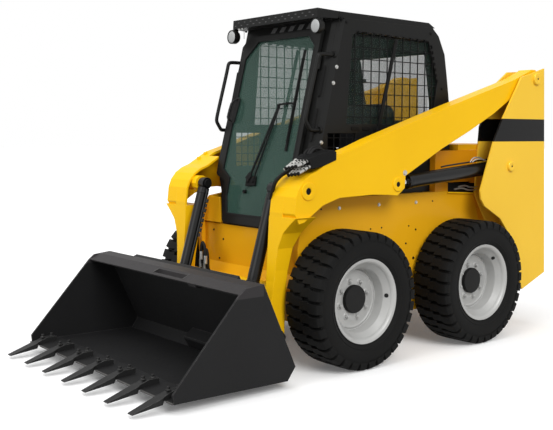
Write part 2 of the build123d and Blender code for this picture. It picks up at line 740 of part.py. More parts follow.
with BuildPart() as window_screens:
    screen_y = CAB_HALF - SCREEN_DEPTH
    screen_bars(screen_y, True)
    screen_bars(screen_y - SCREEN_BAR - SNUG, False)
    with BuildSketch(Plane.XZ.offset(-CAB_HALF)) as opening:
        with BuildLine():
            Polyline(*SIDE_WINDOW, close=True)
        make_face()
        offset(amount=-SNUG, mode=Mode.REPLACE)
    extrude(opening.sketch, amount=CAB_WALL, mode=Mode.INTERSECT)
    mirror(about=Plane.XZ)
save(window_screens, "window_screens")

LAMP_RADIUS = 42.0
LAMP_Z = CAB_TOP - 86.0
LAMP_Y = FRONT_HALF
LAMP_REAR_X = 522.0
LAMP_DEPTH = 52.0
LAMP_RIM = 5.0  # width and depth of the ring round the lens
with BuildPart() as work_lamps:
    for side in (1, -1):
        with BuildSketch(Plane.YZ.offset(LAMP_REAR_X)) as body:
            with Locations((side * LAMP_Y, LAMP_Z)):
                RegularPolygon(LAMP_RADIUS, TUBE_SIDES)
        extrude(body.sketch, amount=LAMP_DEPTH)
        with BuildSketch(Plane.YZ.offset(LAMP_REAR_X + LAMP_DEPTH)) as lens:
            with Locations((side * LAMP_Y, LAMP_Z)):
                RegularPolygon(LAMP_RADIUS - LAMP_RIM, TUBE_SIDES)
        extrude(lens.sketch, amount=-LAMP_RIM, mode=Mode.SUBTRACT)
        low, high = sorted((side * (LAMP_Y - 14), side * (LAMP_Y + 14)))
        block(LAMP_REAR_X + 6, LAMP_REAR_X + 34, low, high, LAMP_Z + LAMP_RADIUS - 3, VISOR_BOTTOM - SNUG)
save(work_lamps, "work_lamps")

HANDLE_RADIUS = 11.0
HANDLE_SIDES = 6
HANDLE_EASE = 18.0  # cut across each bend
HANDLE_Y = CAB_HALF - 20.0
HANDLE_TOP_Z = CAB_TOP - 239.0
HANDLE_LOW_Z = 1300.0
HANDLE_POINTS = [
    (post_x(HANDLE_TOP_Z) - CORNER, HANDLE_TOP_Z),
    (post_x(HANDLE_TOP_Z) + 82, HANDLE_TOP_Z),
    (666, 1355),
    (630, HANDLE_LOW_Z),
    (post_x(HANDLE_LOW_Z) - CORNER, HANDLE_LOW_Z),
]


def eased(points, cut):
    """The route with each inner corner replaced by a short run across it."""
    route = [Vector(*points[0])]
    for before, corner, after in zip(points, points[1:], points[2:]):
        middle = Vector(*corner)
        for neighbour in (before, after):
            route.append(middle + (Vector(*neighbour) - middle).normalized() * cut)
    return [*route, Vector(*points[-1])]


with BuildPart() as grab_handles:
    for side in (1, -1):
        route = eased(HANDLE_POINTS, HANDLE_EASE)
        before = [route[0] * 2 - route[1], *route[:-1]]
        after = [*route[1:], route[-1] * 2 - route[-2]]
        for start, spot, end in zip(before, route, after):
            along = (spot - start).normalized() + (end - spot).normalized()
            origin = (spot.X, side * HANDLE_Y, spot.Y)
            base = Plane(origin, x_dir=(0, 1, 0), z_dir=(along.X, 0, along.Y))
            with BuildSketch(base):
                RegularPolygon(HANDLE_RADIUS, HANDLE_SIDES)
        loft(ruled=True)
        # the ends are cut to the posts' chamfer
        post = [
            (FRONT_HALF - 60, -SNUG),
            (FRONT_HALF, -SNUG),
            (CAB_HALF + 40, corner_line(FRONT_HALF, CAB_HALF + 40) - SNUG),
            (FRONT_HALF - 60, 200),
        ]
        leaning_prism([(side * y, d) for y, d in post], 1000, CAB_TOP, Mode.SUBTRACT)
save(grab_handles, "grab_handles")

SEAT_HALF = 230.0
SEAT_BASE_Z = 830.0
CONSOLE_TOP = 1010.0
CONSOLE_DEPTH = 110.0  # from the cab side in to the console's inner face
STICK_RADIUS = 16.0
CUSHION = [
    (-150, SEAT_BASE_Z),
    (-150, 935),
    (60, 945),
    (240, 965),
    (310, 950),
    (320, 900),
    (290, SEAT_BASE_Z),
]
BACKREST = [
    (-260, SEAT_BASE_Z),
    (-310, 1440),
    (-290, 1490),
    (-220, 1490),
    (-190, 1440),
    (-130, 990),
    (-150, SEAT_BASE_Z),
]
CONSOLE = [
    (-250, CAB_FLOOR),
    (-250, CONSOLE_TOP),
    (290, CONSOLE_TOP),
    (330, CONSOLE_TOP - 50),
    (330, CAB_FLOOR),
]
# radius, bottom and top of each part of a lever
LEVER = [(STICK_RADIUS / 2, CONSOLE_TOP, 1080), (STICK_RADIUS, 1080, 1150)]
with BuildPart() as seat:
    side_prism(CUSHION, -SEAT_HALF, SEAT_HALF)
    side_prism(BACKREST, -SEAT_HALF, SEAT_HALF)
    pedestal_half = INSIDE_HALF - CONSOLE_DEPTH - 2
    block(-290, 100, -pedestal_half, pedestal_half, CAB_FLOOR, SEAT_BASE_Z)
save(seat, "seat")

with BuildPart() as operator_controls:
    for side in (1, -1):
        low, high = sorted((side * (INSIDE_HALF - CONSOLE_DEPTH), side * (INSIDE_HALF - 10)))
        side_prism(CONSOLE, low, high)
        for radius, z_low, z_high in LEVER:
            with BuildSketch(Plane.XY.offset(z_low)) as lever:
                with Locations((250, side * (INSIDE_HALF - 60))):
                    RegularPolygon(radius, PIN_SIDES)
            extrude(lever.sketch, amount=z_high - z_low)
save(operator_controls, "operator_controls")

# ---------------------------------------------------------------- cab door
# (y, z) of each corner and its radius
DOOR_OUTLINE = [
    (-235, DOOR_BOTTOM, 30),
    (-290, 900, 0),
    (-292, 985, 0),
    (DOOR_RIGHT + 4, 1022, 24),
    (DOOR_RIGHT, 1075, 0),
    (DOOR_RIGHT + 4, 1294, 0),
    (DOOR_RIGHT + 24, DOOR_TOP - 191, 0),
    (DOOR_RIGHT + 22, DOOR_TOP - DOOR_CHAMFER, 0),
    (DOOR_RIGHT + 22 + DOOR_CHAMFER, DOOR_TOP, 0),
    (DOOR_LEFT, DOOR_TOP, 18),
    (DOOR_LEFT, 1022, 24),
    (292, 985, 0),
    (290, 900, 0),
    (235, DOOR_BOTTOM, 30),
]
DOOR_WINDOW = [
    (-212, 800, 24),
    (-248, 905, 0),
    (-250, 1010, 0),
    (DOOR_RIGHT + 60, 1062, 0),
    (DOOR_RIGHT + 70, DOOR_TOP - 131, 0),
    (-216, DOOR_TOP - 28, 0),
    (251, DOOR_TOP - 28, 0),
    (DOOR_LEFT - 36, DOOR_TOP - 88, 0),
    (DOOR_LEFT - 36, 1062, 0),
    (250, 1010, 0),
    (248, 905, 0),
    (212, 800, 24),
]
DOOR_PLANE = Plane(origin=(post_x(0) + DOOR_GAP, 0, 0), x_dir=(0, 1, 0), z_dir=(1, 0, POST_LEAN))


def leaning_outline(corners):
    """Closed line through (y, z, radius) corners, on a plane that leans with the posts."""
    points = [(y, z * LEAN_SCALE) for y, z, radius in corners]
    return FilletPolyline(*points, radius=[radius for y, z, radius in corners], close=True)


HINGE_RADIUS = 12.0
DOOR_HINGE_Y = DOOR_LEFT + HINGE_RADIUS - 2


def hinge_x(z):
    """Axis of the cab door's hinge at a height, just clear of the posts."""
    return post_x(z) + (HINGE_RADIUS + SNUG) * LEAN_SCALE


with BuildPart() as door_frame:
    with BuildSketch(DOOR_PLANE):
        with BuildLine():
            leaning_outline(DOOR_OUTLINE)
        make_face()
        with BuildLine():
            leaning_outline(DOOR_WINDOW)
        make_face(mode=Mode.SUBTRACT)
    extrude(amount=DOOR_THICK)
    for z_low in (1070, DOOR_TOP - 228):
        foot = (hinge_x(z_low), DOOR_HINGE_Y, z_low)
        base = Plane(origin=foot, x_dir=(0, 1, 0), z_dir=(-POST_LEAN, 0, 1))
        with BuildSketch(base) as knuckle:
            Circle(HINGE_RADIUS)
        extrude(knuckle.sketch, amount=80)
save(door_frame, "door_frame")
with BuildPart() as door_glass:
    with BuildSketch(DOOR_PLANE.offset(DOOR_THICK / 2 - GLASS_THICK / 2)):
        with BuildLine():
            leaning_outline(DOOR_WINDOW)
        make_face()
    extrude(amount=GLASS_THICK)
save(door_glass, "door_glass")

WIPER_PIVOT = Vector(-49, 1000 * LEAN_SCALE)
WIPER_ELBOW = Vector(106, (CAB_TOP - 518) * LEAN_SCALE)
BLADE_LOW = Vector(235, 1183 * LEAN_SCALE)
BLADE_TOP = Vector(242, (CAB_TOP - 200) * LEAN_SCALE)
GLASS_FACE = DOOR_THICK / 2 + GLASS_THICK / 2


def strip(start, end, half_width):
    """Closed outline of a bar along a line."""
    across = (end - start).normalized().rotate(Axis.Z, 90) * half_width
    return Polyline(start - across, end - across, end + across, start + across, close=True)


with BuildPart() as wiper:
    with BuildSketch(DOOR_PLANE.offset(DOOR_THICK)):
        with BuildLine():
            strip(WIPER_PIVOT, WIPER_ELBOW, 9)
        make_face()
    extrude(amount=16)
    with BuildSketch(DOOR_PLANE.offset(GLASS_FACE)):
        with Locations(WIPER_PIVOT):
            RegularPolygon(22, PIN_SIDES)
    extrude(amount=DOOR_THICK - GLASS_FACE + 20)
    with BuildSketch(DOOR_PLANE.offset(GLASS_FACE)):
        with BuildLine():
            strip(BLADE_LOW, BLADE_TOP, 8)
        make_face()
    extrude(amount=14)
save(wiper, "wiper")

# ---------------------------------------------------------------- lift arms
BEAM = [
    (-1128, 1701),
    (-943, 1629),
    (-313, 1447),
    (340, 1250),
    (465, 1206),
    (612, 1163),
    (742, 1086),
    (795, 1066),
    (840, 1037),
    (874, 995),
    (893, 950),
    (903, 862),
    (873, 809),
    (839, 815),
    (705, 900),
    (585, 935),
    (332, 942),
    (196, 935),
    (132, 928),
    (74, 970),
    (68, 1040),
    (-243, 1192),
    (-496, 1298),
    (-732, 1408),
    (-1000, 1560),
    (-1140, 1580),
]
WRAP = [
    (655, 1137.5),
    (742, 1086),
    (795, 1066),
    (840, 1037),
    (874, 995),
    (893, 950),
    (905, 862),
    (905, 838),
    (893, 838),
    (891, 862),
    (881, 948),
    (863, 989),
    (832, 1026),
    (790, 1053),
    (737, 1073),
    (655, 1121),
]
LEG_SIDE = [
    (760, 842),
    (905, 842),
    (916, 640),
    (925, 490),
    (950, 340),
    (964, 230),
    (964, 160),
    (935, 128),
    (880, 128),
    (852, 160),
    (848, 387),
    (834, 544),
    (812, 660),
    (774, 775),
]
LEG_FRONT = [
    (LEG_INNER, 842),
    (ARM_OUTER + 12, 842),
    (ARM_OUTER - 36, 804),
    (ARM_OUTER - 89, 754),
    (ARM_OUTER - 125, 670),
    (478, 552),
    (474, 435),
    (474, 100),
    (LEG_INNER, 100),
]
with BuildPart() as arm_left:
    side_prism(BEAM, ARM_INNER, ARM_OUTER)
    # the knee is open on its inner side
    knee = [(520, 1172), (600, 1150), (737, 1072), (790, 1052), (832, 1026), (863, 989),
            (881, 948), (891, 862), (873, 800), (820, 790), (560, 925), (480, 960)]
    side_prism(knee, ARM_INNER - 1, ARM_OUTER - ARM_PLATE, mode=Mode.SUBTRACT)
    side_prism(WRAP, KNEE_INNER, ARM_INNER + 1)
    # slot of the lift cylinder's eye
    slot = [(200, 1060), (200, 820), (-60, 820), (-60, 1075), (60, 1075)]
    side_prism(slot, LIFT_Y - EYE_WIDTH / 2 - 7, LIFT_Y + EYE_WIDTH / 2 + 7, mode=Mode.SUBTRACT)
    # leg down to the bucket pivot
    with BuildPart(mode=Mode.PRIVATE) as leg:
        side_prism(LEG_SIDE, LEG_INNER, TOWER_OUTER)
        front_prism(LEG_FRONT, 700, 1000, mode=Mode.INTERSECT)
    add(leg.part)
    # boss and pin of the tilt cylinder
    flat_pin(TILT_TOP, TILT_BOSS_RADIUS, TILT_Y + TILT_BORE_RADIUS + SNUG, ARM_OUTER + BOSS_LIP)
    flat_pin(TILT_TOP, PIN_RADIUS, TILT_Y - EYE_WIDTH / 2 - 12, ARM_INNER)
    flat_pin(TILT_TOP, PIN_RADIUS + 4, TILT_Y - EYE_WIDTH / 2 - 12, TILT_Y - EYE_WIDTH / 2 - SNUG)
    flat_pin(TILT_TOP, TILT_HOLE_RADIUS, ARM_OUTER - TILT_HOLE_DEPTH, TOWER_OUTER, Mode.SUBTRACT)
    # bosses of the lift cylinder's eye and of the main pivot
    flat_pin(LIFT_EYE, 40, ARM_OUTER - 1, ARM_OUTER + BOSS_LIP)
    flat_pin(ARM_PIVOT, TAIL_RADIUS, ARM_INNER, ARM_OUTER)
    flat_pin(LIFT_EYE, 17, ARM_INNER - 16, TOWER_OUTER, Mode.SUBTRACT)
    # bores of the main pivot and of the bucket pin
    cross_pin(ARM_PIVOT, PIVOT_PIN_RADIUS + RUNNING, TOWER_INNER, TOWER_OUTER, Mode.SUBTRACT)
    cross_pin(BUCKET_PIVOT, BUCKET_PIN_RADIUS + RUNNING, 300, 500, Mode.SUBTRACT)
save(arm_left, "arm_left")
mirrored(arm_left, "arm_right")

with BuildPart() as arm_cross_tube:
    flat_pin(CROSS_TUBE, CROSS_TUBE_RADIUS, -LEG_INNER, LEG_INNER)
save(arm_cross_tube, "arm_cross_tube")


def cylinder_pair(name, foot, eye, middle_y, radii, tube_length, bore_start, rod_start):
    """Save the barrel and rod of one hydraulic cylinder on each side."""
    tube_radius, rod_radius = radii
    run_x, run_z = eye[0] - foot[0], eye[1] - foot[1]
    length = hypot(run_x, run_z)
    for side_name, side in (("left", 1), ("right", -1)):
        along = (run_x, 0, run_z)
        base = Plane(origin=(foot[0], side * middle_y, foot[1]), x_dir=(0, 1, 0), z_dir=along)
        low, high = sorted((side * (middle_y - EYE_WIDTH / 2), side * (middle_y + EYE_WIDTH / 2)))
        with BuildPart() as barrel:
            flat_pin(foot, tube_radius, low, high, sides=TUBE_SIDES)
            with BuildSketch(base.offset(PIN_RADIUS + CLEAR)) as tube:
                RegularPolygon(tube_radius, TUBE_SIDES)
            extrude(tube.sketch, amount=tube_length - PIN_RADIUS - CLEAR)
            # the gland at the rod's end stands proud of the tube
            with BuildSketch(base.offset(tube_length - GLAND_LENGTH)) as gland:
                RegularPolygon(tube_radius + GLAND_STEP, TUBE_SIDES)
            extrude(gland.sketch, amount=GLAND_LENGTH)
            with BuildSketch(base.offset(bore_start)) as bore:
                RegularPolygon(rod_radius + RUNNING, PIN_SIDES)
            extrude(bore.sketch, amount=tube_length, mode=Mode.SUBTRACT)
            cross_pin(foot, PIN_RADIUS + RUNNING, low - 1, high + 1, Mode.SUBTRACT)
        save(barrel, f"{name}_barrel_{side_name}")
        with BuildPart() as rod:
            with BuildSketch(base.offset(rod_start)) as shank:
                RegularPolygon(rod_radius, PIN_SIDES)
            extrude(shank.sketch, amount=length - rod_start)
            flat_pin(eye, rod_radius + 12, low, high, sides=TUBE_SIDES)
        save(rod, f"{name}_rod_{side_name}")


LIFT_RADII = (LIFT_BORE_RADIUS, LIFT_ROD_RADIUS)
TILT_RADII = (TILT_BORE_RADIUS, TILT_ROD_RADIUS)
cylinder_pair("lift", LIFT_BASE, LIFT_EYE, LIFT_Y, LIFT_RADII, LIFT_TUBE_LENGTH, 170, 190)
cylinder_pair("tilt", TILT_TOP, TILT_EYE, TILT_Y, TILT_RADII, TILT_TUBE_LENGTH, 60, 150)

# ---------------------------------------------------------------- quick attach and bucket
def back_point(share, behind=0):
    """Point on the bucket's back, from its kink to its top, and so far behind it."""
    run_x, run_z = BUCKET_TOP[0] - BUCKET_KINK[0], BUCKET_TOP[1] - BUCKET_KINK[1]
    length = hypot(run_x, run_z)
    x = BUCKET_KINK[0] + share * run_x - behind * run_z / length
    z = BUCKET_KINK[1] + share * run_z + behind * run_x / length
    return (x, z)


ATTACH_PLATE = 16.0
EAR_THICK = 14.0
PIVOT_X, PIVOT_Z = BUCKET_PIVOT
EYE_X, EYE_Z = TILT_EYE
PIVOT_EAR = [
    back_point(0.05, ATTACH_PLATE - 2),
    (PIVOT_X + 10, PIVOT_Z - 46),
    (PIVOT_X - 34, PIVOT_Z - 34),
    (PIVOT_X - 46, PIVOT_Z + 10),
    (PIVOT_X - 20, PIVOT_Z + 44),
    back_point(0.45, ATTACH_PLATE - 2),
]
TILT_EAR = [
    back_point(0.2, ATTACH_PLATE - 2),
    (EYE_X - 10, EYE_Z - 38),
    (EYE_X - 34, EYE_Z - 16),
    (EYE_X - 34, EYE_Z + 16),
    (EYE_X - 5, EYE_Z + 38),
    back_point(0.75, ATTACH_PLATE - 2),
]
ATTACH_HALF = 515.0
# inner face of each ear and its outline
EARS = [(280, TILT_EAR), (376, PIVOT_EAR), (376, TILT_EAR), (489, PIVOT_EAR)]
# inner and outer edge of the upright plates, which leave a window for the rod's eye
UPRIGHTS = [(275, 298), (372, ATTACH_HALF)]
# low and high end of the cross bars up the back
CROSS_BARS = [(0.05, 0.16), (0.86, 0.97)]
BAR_DEPTH = 40.0


def back_strip(low, high, depth):
    """Outline of a strip up the bucket's back."""
    corners = [(low, SNUG), (high, SNUG), (high, depth), (low, depth)]
    return [back_point(share, behind) for share, behind in corners]


with BuildPart() as quick_attach:
    for side in (1, -1):
        for inner, outer in UPRIGHTS:
            low, high = sorted((side * inner, side * outer))
            side_prism(back_strip(0.05, 0.97, ATTACH_PLATE), low, high)
        for inner, outline in EARS:
            low, high = sorted((side * inner, side * (inner + EAR_THICK)))
            side_prism(outline, low, high)
        low, high = sorted((side * 376, side * 503))
        flat_pin(BUCKET_PIVOT, BUCKET_PIN_RADIUS, low, high)
    for bar_low, bar_high in CROSS_BARS:
        side_prism(back_strip(bar_low, bar_high, BAR_DEPTH), -ATTACH_HALF, ATTACH_HALF)
save(quick_attach, "quick_attach")

SHELL = [
    BUCKET_HEEL,
    BUCKET_KINK,
    BUCKET_TOP,
    (1299, 546),
    BUCKET_LIP,
    (1362, 507),
    (1250, 520),
    (1236, 528),
    (1040, 116),
    (1082, 58),
    (1600, 66),
    (1600, 74),
    (BUCKET_FRONT[0] + 10, 62),
    BUCKET_FRONT,
]
CHEEK = [
    BUCKET_HEEL,
    BUCKET_KINK,
    BUCKET_TOP,
    (1299, 546),
    (1335, 542),
    BUCKET_LIP,
    (1749, 100),
    BUCKET_FRONT,
]
with BuildPart() as bucket_shell:
    side_prism(SHELL, -BUCKET_HALF, BUCKET_HALF)
    side_prism(CHEEK, BUCKET_HALF - BUCKET_PLATE, BUCKET_HALF)
    side_prism(CHEEK, -BUCKET_HALF, -BUCKET_HALF + BUCKET_PLATE)
    # foot slot through the lip and the rib beside it
    step_low, step_high = STEP_SPAN
    block(*STEP_SLOT, step_low, step_high, 490, 570, Mode.SUBTRACT)
    rib = [(1250, 545), (1299, 546), (1372, 516), (1360, 496), (1330, 490), (1250, 515)]
    side_prism(rib, *RIB_SPAN)
    # pocket over the lower hook of the quick attach
    pocket = [(1045, 130), (1062, 168), (1128, 128), (1128, 116), (1090, 60)]
    side_prism(pocket, *POCKET_SPAN)
save(bucket_shell, "bucket_shell")


EDGE_X = BUCKET_FRONT[0] + 10  # front of the cutting edge
EDGE_REAR_X = 1600.0


def edge_top(x):
    """Upper face of the cutting edge, which slopes down to the front."""
    return 74 - (x - EDGE_REAR_X) * 12 / (EDGE_X - EDGE_REAR_X)


SHANK_X = 1640.0
TOOTH_SIDE = [
    (SHANK_X, edge_top(SHANK_X) + SNUG),
    (SHANK_X, 98),
    (1700, 98),
    (1790, 66),
    (TOOTH_TIP_X, 26),
    (TOOTH_TIP_X, 22),
    (1765, 44),
    (EDGE_X + SNUG, edge_top(EDGE_X) + SNUG),
]
# half width of a tooth along it: shank, shoulder and tip
TOOTH_HALVES = [(SHANK_X, 23), (1745, 23), (1765, TOOTH_WIDTH / 2), (TOOTH_TIP_X, 20)]
with BuildPart() as bucket_teeth:
    step = TOOTH_SPAN / (TOOTH_COUNT - 1)
    for index in range(TOOTH_COUNT):
        middle = -TOOTH_SPAN / 2 + index * step
        side_prism(TOOTH_SIDE, middle - TOOTH_WIDTH / 2, middle + TOOTH_WIDTH / 2)
    with BuildSketch(Plane.XY) as plan:
        for index in range(TOOTH_COUNT):
            middle = -TOOTH_SPAN / 2 + index * step
            near = [(x, middle + half) for x, half in TOOTH_HALVES]
            far = [(x, middle - half) for x, half in reversed(TOOTH_HALVES)]
            with BuildLine():
                Polyline(*near, *far, close=True)
            make_face()
    extrude(plan.sketch, amount=120, mode=Mode.INTERSECT)
save(bucket_teeth, "bucket_teeth")

# ---------------------------------------------------------------- hoses
COUPLER_COUNT = 4
COUPLER_PITCH = 24.0
COUPLER_RADIUS = 10.0
COUPLER_SIDES = 8
COUPLER_LENGTH = 96.0
BRACKET_SPAN = (ARM_INNER + 4, ARM_OUTER - 4)
BRACKET_TOP = 8.0
MANIFOLD_TOP = 38.0
KNEE_START = (612.0, 1163.0)
KNEE_END = (742.0, 1086.0)
KNEE_LENGTH = hypot(KNEE_END[0] - KNEE_START[0], KNEE_END[1] - KNEE_START[1])
KNEE_DOWN = (KNEE_START[1] - KNEE_END[1]) / KNEE_LENGTH
KNEE_ALONG = (KNEE_END[0] - KNEE_START[0]) / KNEE_LENGTH


def over_knee(run, rise):
    """(x, z) so far down the sloping top of the knee and so high over it."""
    x = KNEE_START[0] + run * KNEE_ALONG + rise * KNEE_DOWN
    z = KNEE_START[1] - run * KNEE_DOWN + rise * KNEE_ALONG
    return (x, z)


def over_knee_strip(run_low, run_high, rise_low, rise_high):
    """Outline of a block on the knee's top."""
    corners = [(run_low, rise_low), (run_high, rise_low), (run_high, rise_high), (run_low, rise_high)]
    return [over_knee(run, rise) for run, rise in corners]


MANIFOLD_RUN = (10.0, 48.0)
with BuildPart() as arm_hoses:
    side_prism(over_knee_strip(8, KNEE_LENGTH - 8, SNUG, BRACKET_TOP), *BRACKET_SPAN)
    # manifold block that the hoses end in
    side_prism(over_knee_strip(*MANIFOLD_RUN, BRACKET_TOP - 2, MANIFOLD_TOP), *BRACKET_SPAN)
save(arm_hoses, "arm_hoses")

with BuildPart() as hose_couplers:
    x, z = over_knee(MANIFOLD_RUN[1] + SNUG, (BRACKET_TOP + MANIFOLD_TOP) / 2)
    middle = (BRACKET_SPAN[0] + BRACKET_SPAN[1]) / 2
    base = Plane(origin=(x, middle, z), x_dir=(0, 1, 0), z_dir=(KNEE_ALONG, 0, -KNEE_DOWN))
    with BuildSketch(base):
        with GridLocations(COUPLER_PITCH, 0, COUPLER_COUNT, 1):
            RegularPolygon(COUPLER_RADIUS, COUPLER_SIDES)
    extrude(amount=COUPLER_LENGTH)
save(hose_couplers, "hose_couplers")

# ---------------------------------------------------------------- tail lamps
TAIL_LAMP_DEPTH = 22.0
TAIL_LAMP_SPAN = (1180.0, 1290.0)
TAIL_LAMP_EDGE = 40.0  # from the tower's side to the lamp


def tower_rear_x(z):
    """Rear face of the towers at a height."""
    return TAIL_X + (TOWER_TOP_X - TAIL_X) * (z - TOWER_FOOT) / (TOWER_TOP - TOWER_FOOT)


with BuildPart() as tail_lamps:
    bottom, top = TAIL_LAMP_SPAN
    corners = [(bottom, SNUG), (bottom, TAIL_LAMP_DEPTH), (top, TAIL_LAMP_DEPTH), (top, SNUG)]
    lamp = [(tower_rear_x(z) - depth, z) for z, depth in corners]
    for side in (1, -1):
        low, high = sorted((side * (TOWER_INNER + TAIL_LAMP_EDGE), side * (TOWER_OUTER - TAIL_LAMP_EDGE)))
        side_prism(lamp, low, high)
save(tail_lamps, "tail_lamps")
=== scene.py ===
"""Looks of the skid steer loader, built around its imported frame.

Lengths in this script are millimetres from the middle of the wheelbase, on the floor,
as in the part's own source; at() turns them into the model's metres.
"""
import math

import bmesh
import bpy
from mathutils import Matrix, Vector


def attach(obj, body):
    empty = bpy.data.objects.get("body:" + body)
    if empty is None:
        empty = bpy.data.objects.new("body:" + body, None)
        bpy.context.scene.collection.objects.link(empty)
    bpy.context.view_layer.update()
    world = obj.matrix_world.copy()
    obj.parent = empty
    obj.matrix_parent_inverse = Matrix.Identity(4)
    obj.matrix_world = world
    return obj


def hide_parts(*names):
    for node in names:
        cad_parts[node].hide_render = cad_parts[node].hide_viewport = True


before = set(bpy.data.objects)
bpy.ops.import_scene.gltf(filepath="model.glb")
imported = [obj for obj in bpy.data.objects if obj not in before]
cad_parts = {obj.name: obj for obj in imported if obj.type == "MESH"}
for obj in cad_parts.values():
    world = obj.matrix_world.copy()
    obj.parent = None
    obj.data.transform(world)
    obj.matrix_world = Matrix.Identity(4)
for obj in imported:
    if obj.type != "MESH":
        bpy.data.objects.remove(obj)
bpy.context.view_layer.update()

MIDDLE_X = 315.0


def at(x, y, z):
    """Place in the model's metres."""
    return Vector(((x - MIDDLE_X) / 1000, y / 1000, z / 1000))


def mm(value):
    return value / 1000


# ------------------------------------------------------------ camera, light and floor
# azimuth, rise and roll in degrees, place in metres, and the picture's lens and shift
CAMERA_TURNS = (50.765, 4.829, 0.207)
CAMERA_PLACE = (3.5512, 4.1127, 1.2876)
CAMERA_LENS = 57.82
CAMERA_SHIFT = (-0.0039, -0.0140)


def aim_camera():
    """Camera of the front left three-quarter view."""
    camera = bpy.data.objects.new("camera", bpy.data.cameras.new("camera"))
    bpy.context.scene.collection.objects.link(camera)
    azimuth, rise, roll = (math.radians(angle) for angle in CAMERA_TURNS)
    back = Vector((math.cos(rise) * math.cos(azimuth), math.cos(rise) * math.sin(azimuth), math.sin(rise)))
    right = Vector((-math.sin(azimuth), math.cos(azimuth), 0))
    up = back.cross(right)
    across = right * math.cos(roll) + up * math.sin(roll)
    above = up * math.cos(roll) - right * math.sin(roll)
    turned = Matrix((across, above, back)).transposed()
    camera.matrix_world = Matrix.Translation(CAMERA_PLACE) @ turned.to_4x4()
    camera.data.lens = CAMERA_LENS
    camera.data.sensor_width = 36
    camera.data.shift_x, camera.data.shift_y = CAMERA_SHIFT
    camera.data.clip_end = 200
    bpy.context.scene.camera = camera


class Shade:
    """A shader socket. Arithmetic on it adds the Math nodes."""

    def __init__(self, nodes, socket):
        self.nodes = nodes
        self.socket = socket

    def maths(self, operation, first, second=0.0, clamp=False):
        settings = {"operation": operation, "use_clamp": clamp}
        return self.nodes.node("ShaderNodeMath", settings, {0: first, 1: second})

    def __add__(self, other):
        return self.maths("ADD", self, other)

    __radd__ = __add__

    def __mul__(self, other):
        return self.maths("MULTIPLY", self, other)

    __rmul__ = __mul__

    def __sub__(self, other):
        return self.maths("SUBTRACT", self, other)

    def __rsub__(self, other):
        return self.maths("SUBTRACT", other, self)

    def above(self, edge, width):
        """0 below edge, 1 from width above it."""
        return self.maths("MULTIPLY", self - edge, 1 / width, clamp=True)

    def below(self, edge, width):
        return 1 - self.above(edge - width, width)


class Nodes:
    """Builds the nodes of one tree."""

    def __init__(self, tree):
        self.tree = tree

    def plug(self, socket, value):
        if isinstance(value, Shade):
            self.tree.links.new(value.socket, socket)
        elif isinstance(value, tuple) and len(value) == 3 and socket.type == "RGBA":
            socket.default_value = (*value, 1)
        else:
            socket.default_value = value

    def node(self, kind, settings=None, values=None, output=0):
        """Node of a kind, with its settings first and then the values or links of its sockets."""
        made = self.tree.nodes.new(kind)
        for key, value in (settings or {}).items():
            setattr(made, key, value)
        for key, value in (values or {}).items():
            self.plug(made.inputs[key], value)
        return Shade(self, made.outputs[output])

    def seen_directly(self):
        """1 on rays from the camera, reflections and glass, 0 on the light that falls on the object."""
        rays = ("Is Camera Ray", "Is Transmission Ray", "Is Glossy Ray")
        camera, glass, glossy = (self.node("ShaderNodeLightPath", output=ray) for ray in rays)
        return camera.maths("MAXIMUM", camera.maths("MAXIMUM", camera, glass), glossy)


class Surface(Nodes):
    """A procedural material on one Principled shader."""

    def __init__(self, name, **values):
        self.material = bpy.data.materials.new(name)
        self.material.use_nodes = True
        super().__init__(self.material.node_tree)
        self.principled = self.tree.nodes["Principled BSDF"]
        self.set(**values)

    def set(self, **values):
        for name, value in values.items():
            self.plug(self.principled.inputs[name.replace("_", " ")], value)

    def place(self, axis=None):
        """Coordinates that stay with the piece, or one of them."""
        spot = self.node("ShaderNodeTexCoord", output=3)
        if axis is None:
            return spot
        return self.node("ShaderNodeSeparateXYZ", values={0: spot}, output="XYZ".index(axis))

    def noise(self, scale, detail=4.0, rough=0.5, stretch=None):
        spot = self.place()
        if stretch:
            spot = self.node("ShaderNodeVectorMath", {"operation": "MULTIPLY"}, {0: spot, 1: stretch})
        values = {"Vector": spot, "Scale": scale, "Detail": detail, "Roughness": rough}
        return self.node("ShaderNodeTexNoise", None, values)

    def mix(self, share, first, second):
        settings = {"data_type": "RGBA"}
        return self.node("ShaderNodeMix", settings, {0: share, 6: first, 7: second}, output=2)

    def rounded(self, radius):
        """Normal of edges rounded to a radius in millimetres."""
        return self.node("ShaderNodeBevel", {"samples": 6}, {"Radius": mm(radius)})

    def worn(self, radius):
        """1 on sharp edges, 0 on flat faces."""
        flat = self.node("ShaderNodeNewGeometry", output=1)
        bend = self.node(
            "ShaderNodeVectorMath", {"operation": "DOT_PRODUCT"}, {0: self.rounded(radius), 1: flat}, output=1
        )
        return (1 - bend).above(0.015, 0.1)

    def bump(self, height, depth, radius=None):
        """Relief of a depth in millimetres."""
        values = {"Height": height, "Distance": mm(depth), "Strength": 1.0}
        if radius:
            values["Normal"] = self.rounded(radius)
        self.set(Normal=self.node("ShaderNodeBump", None, values))


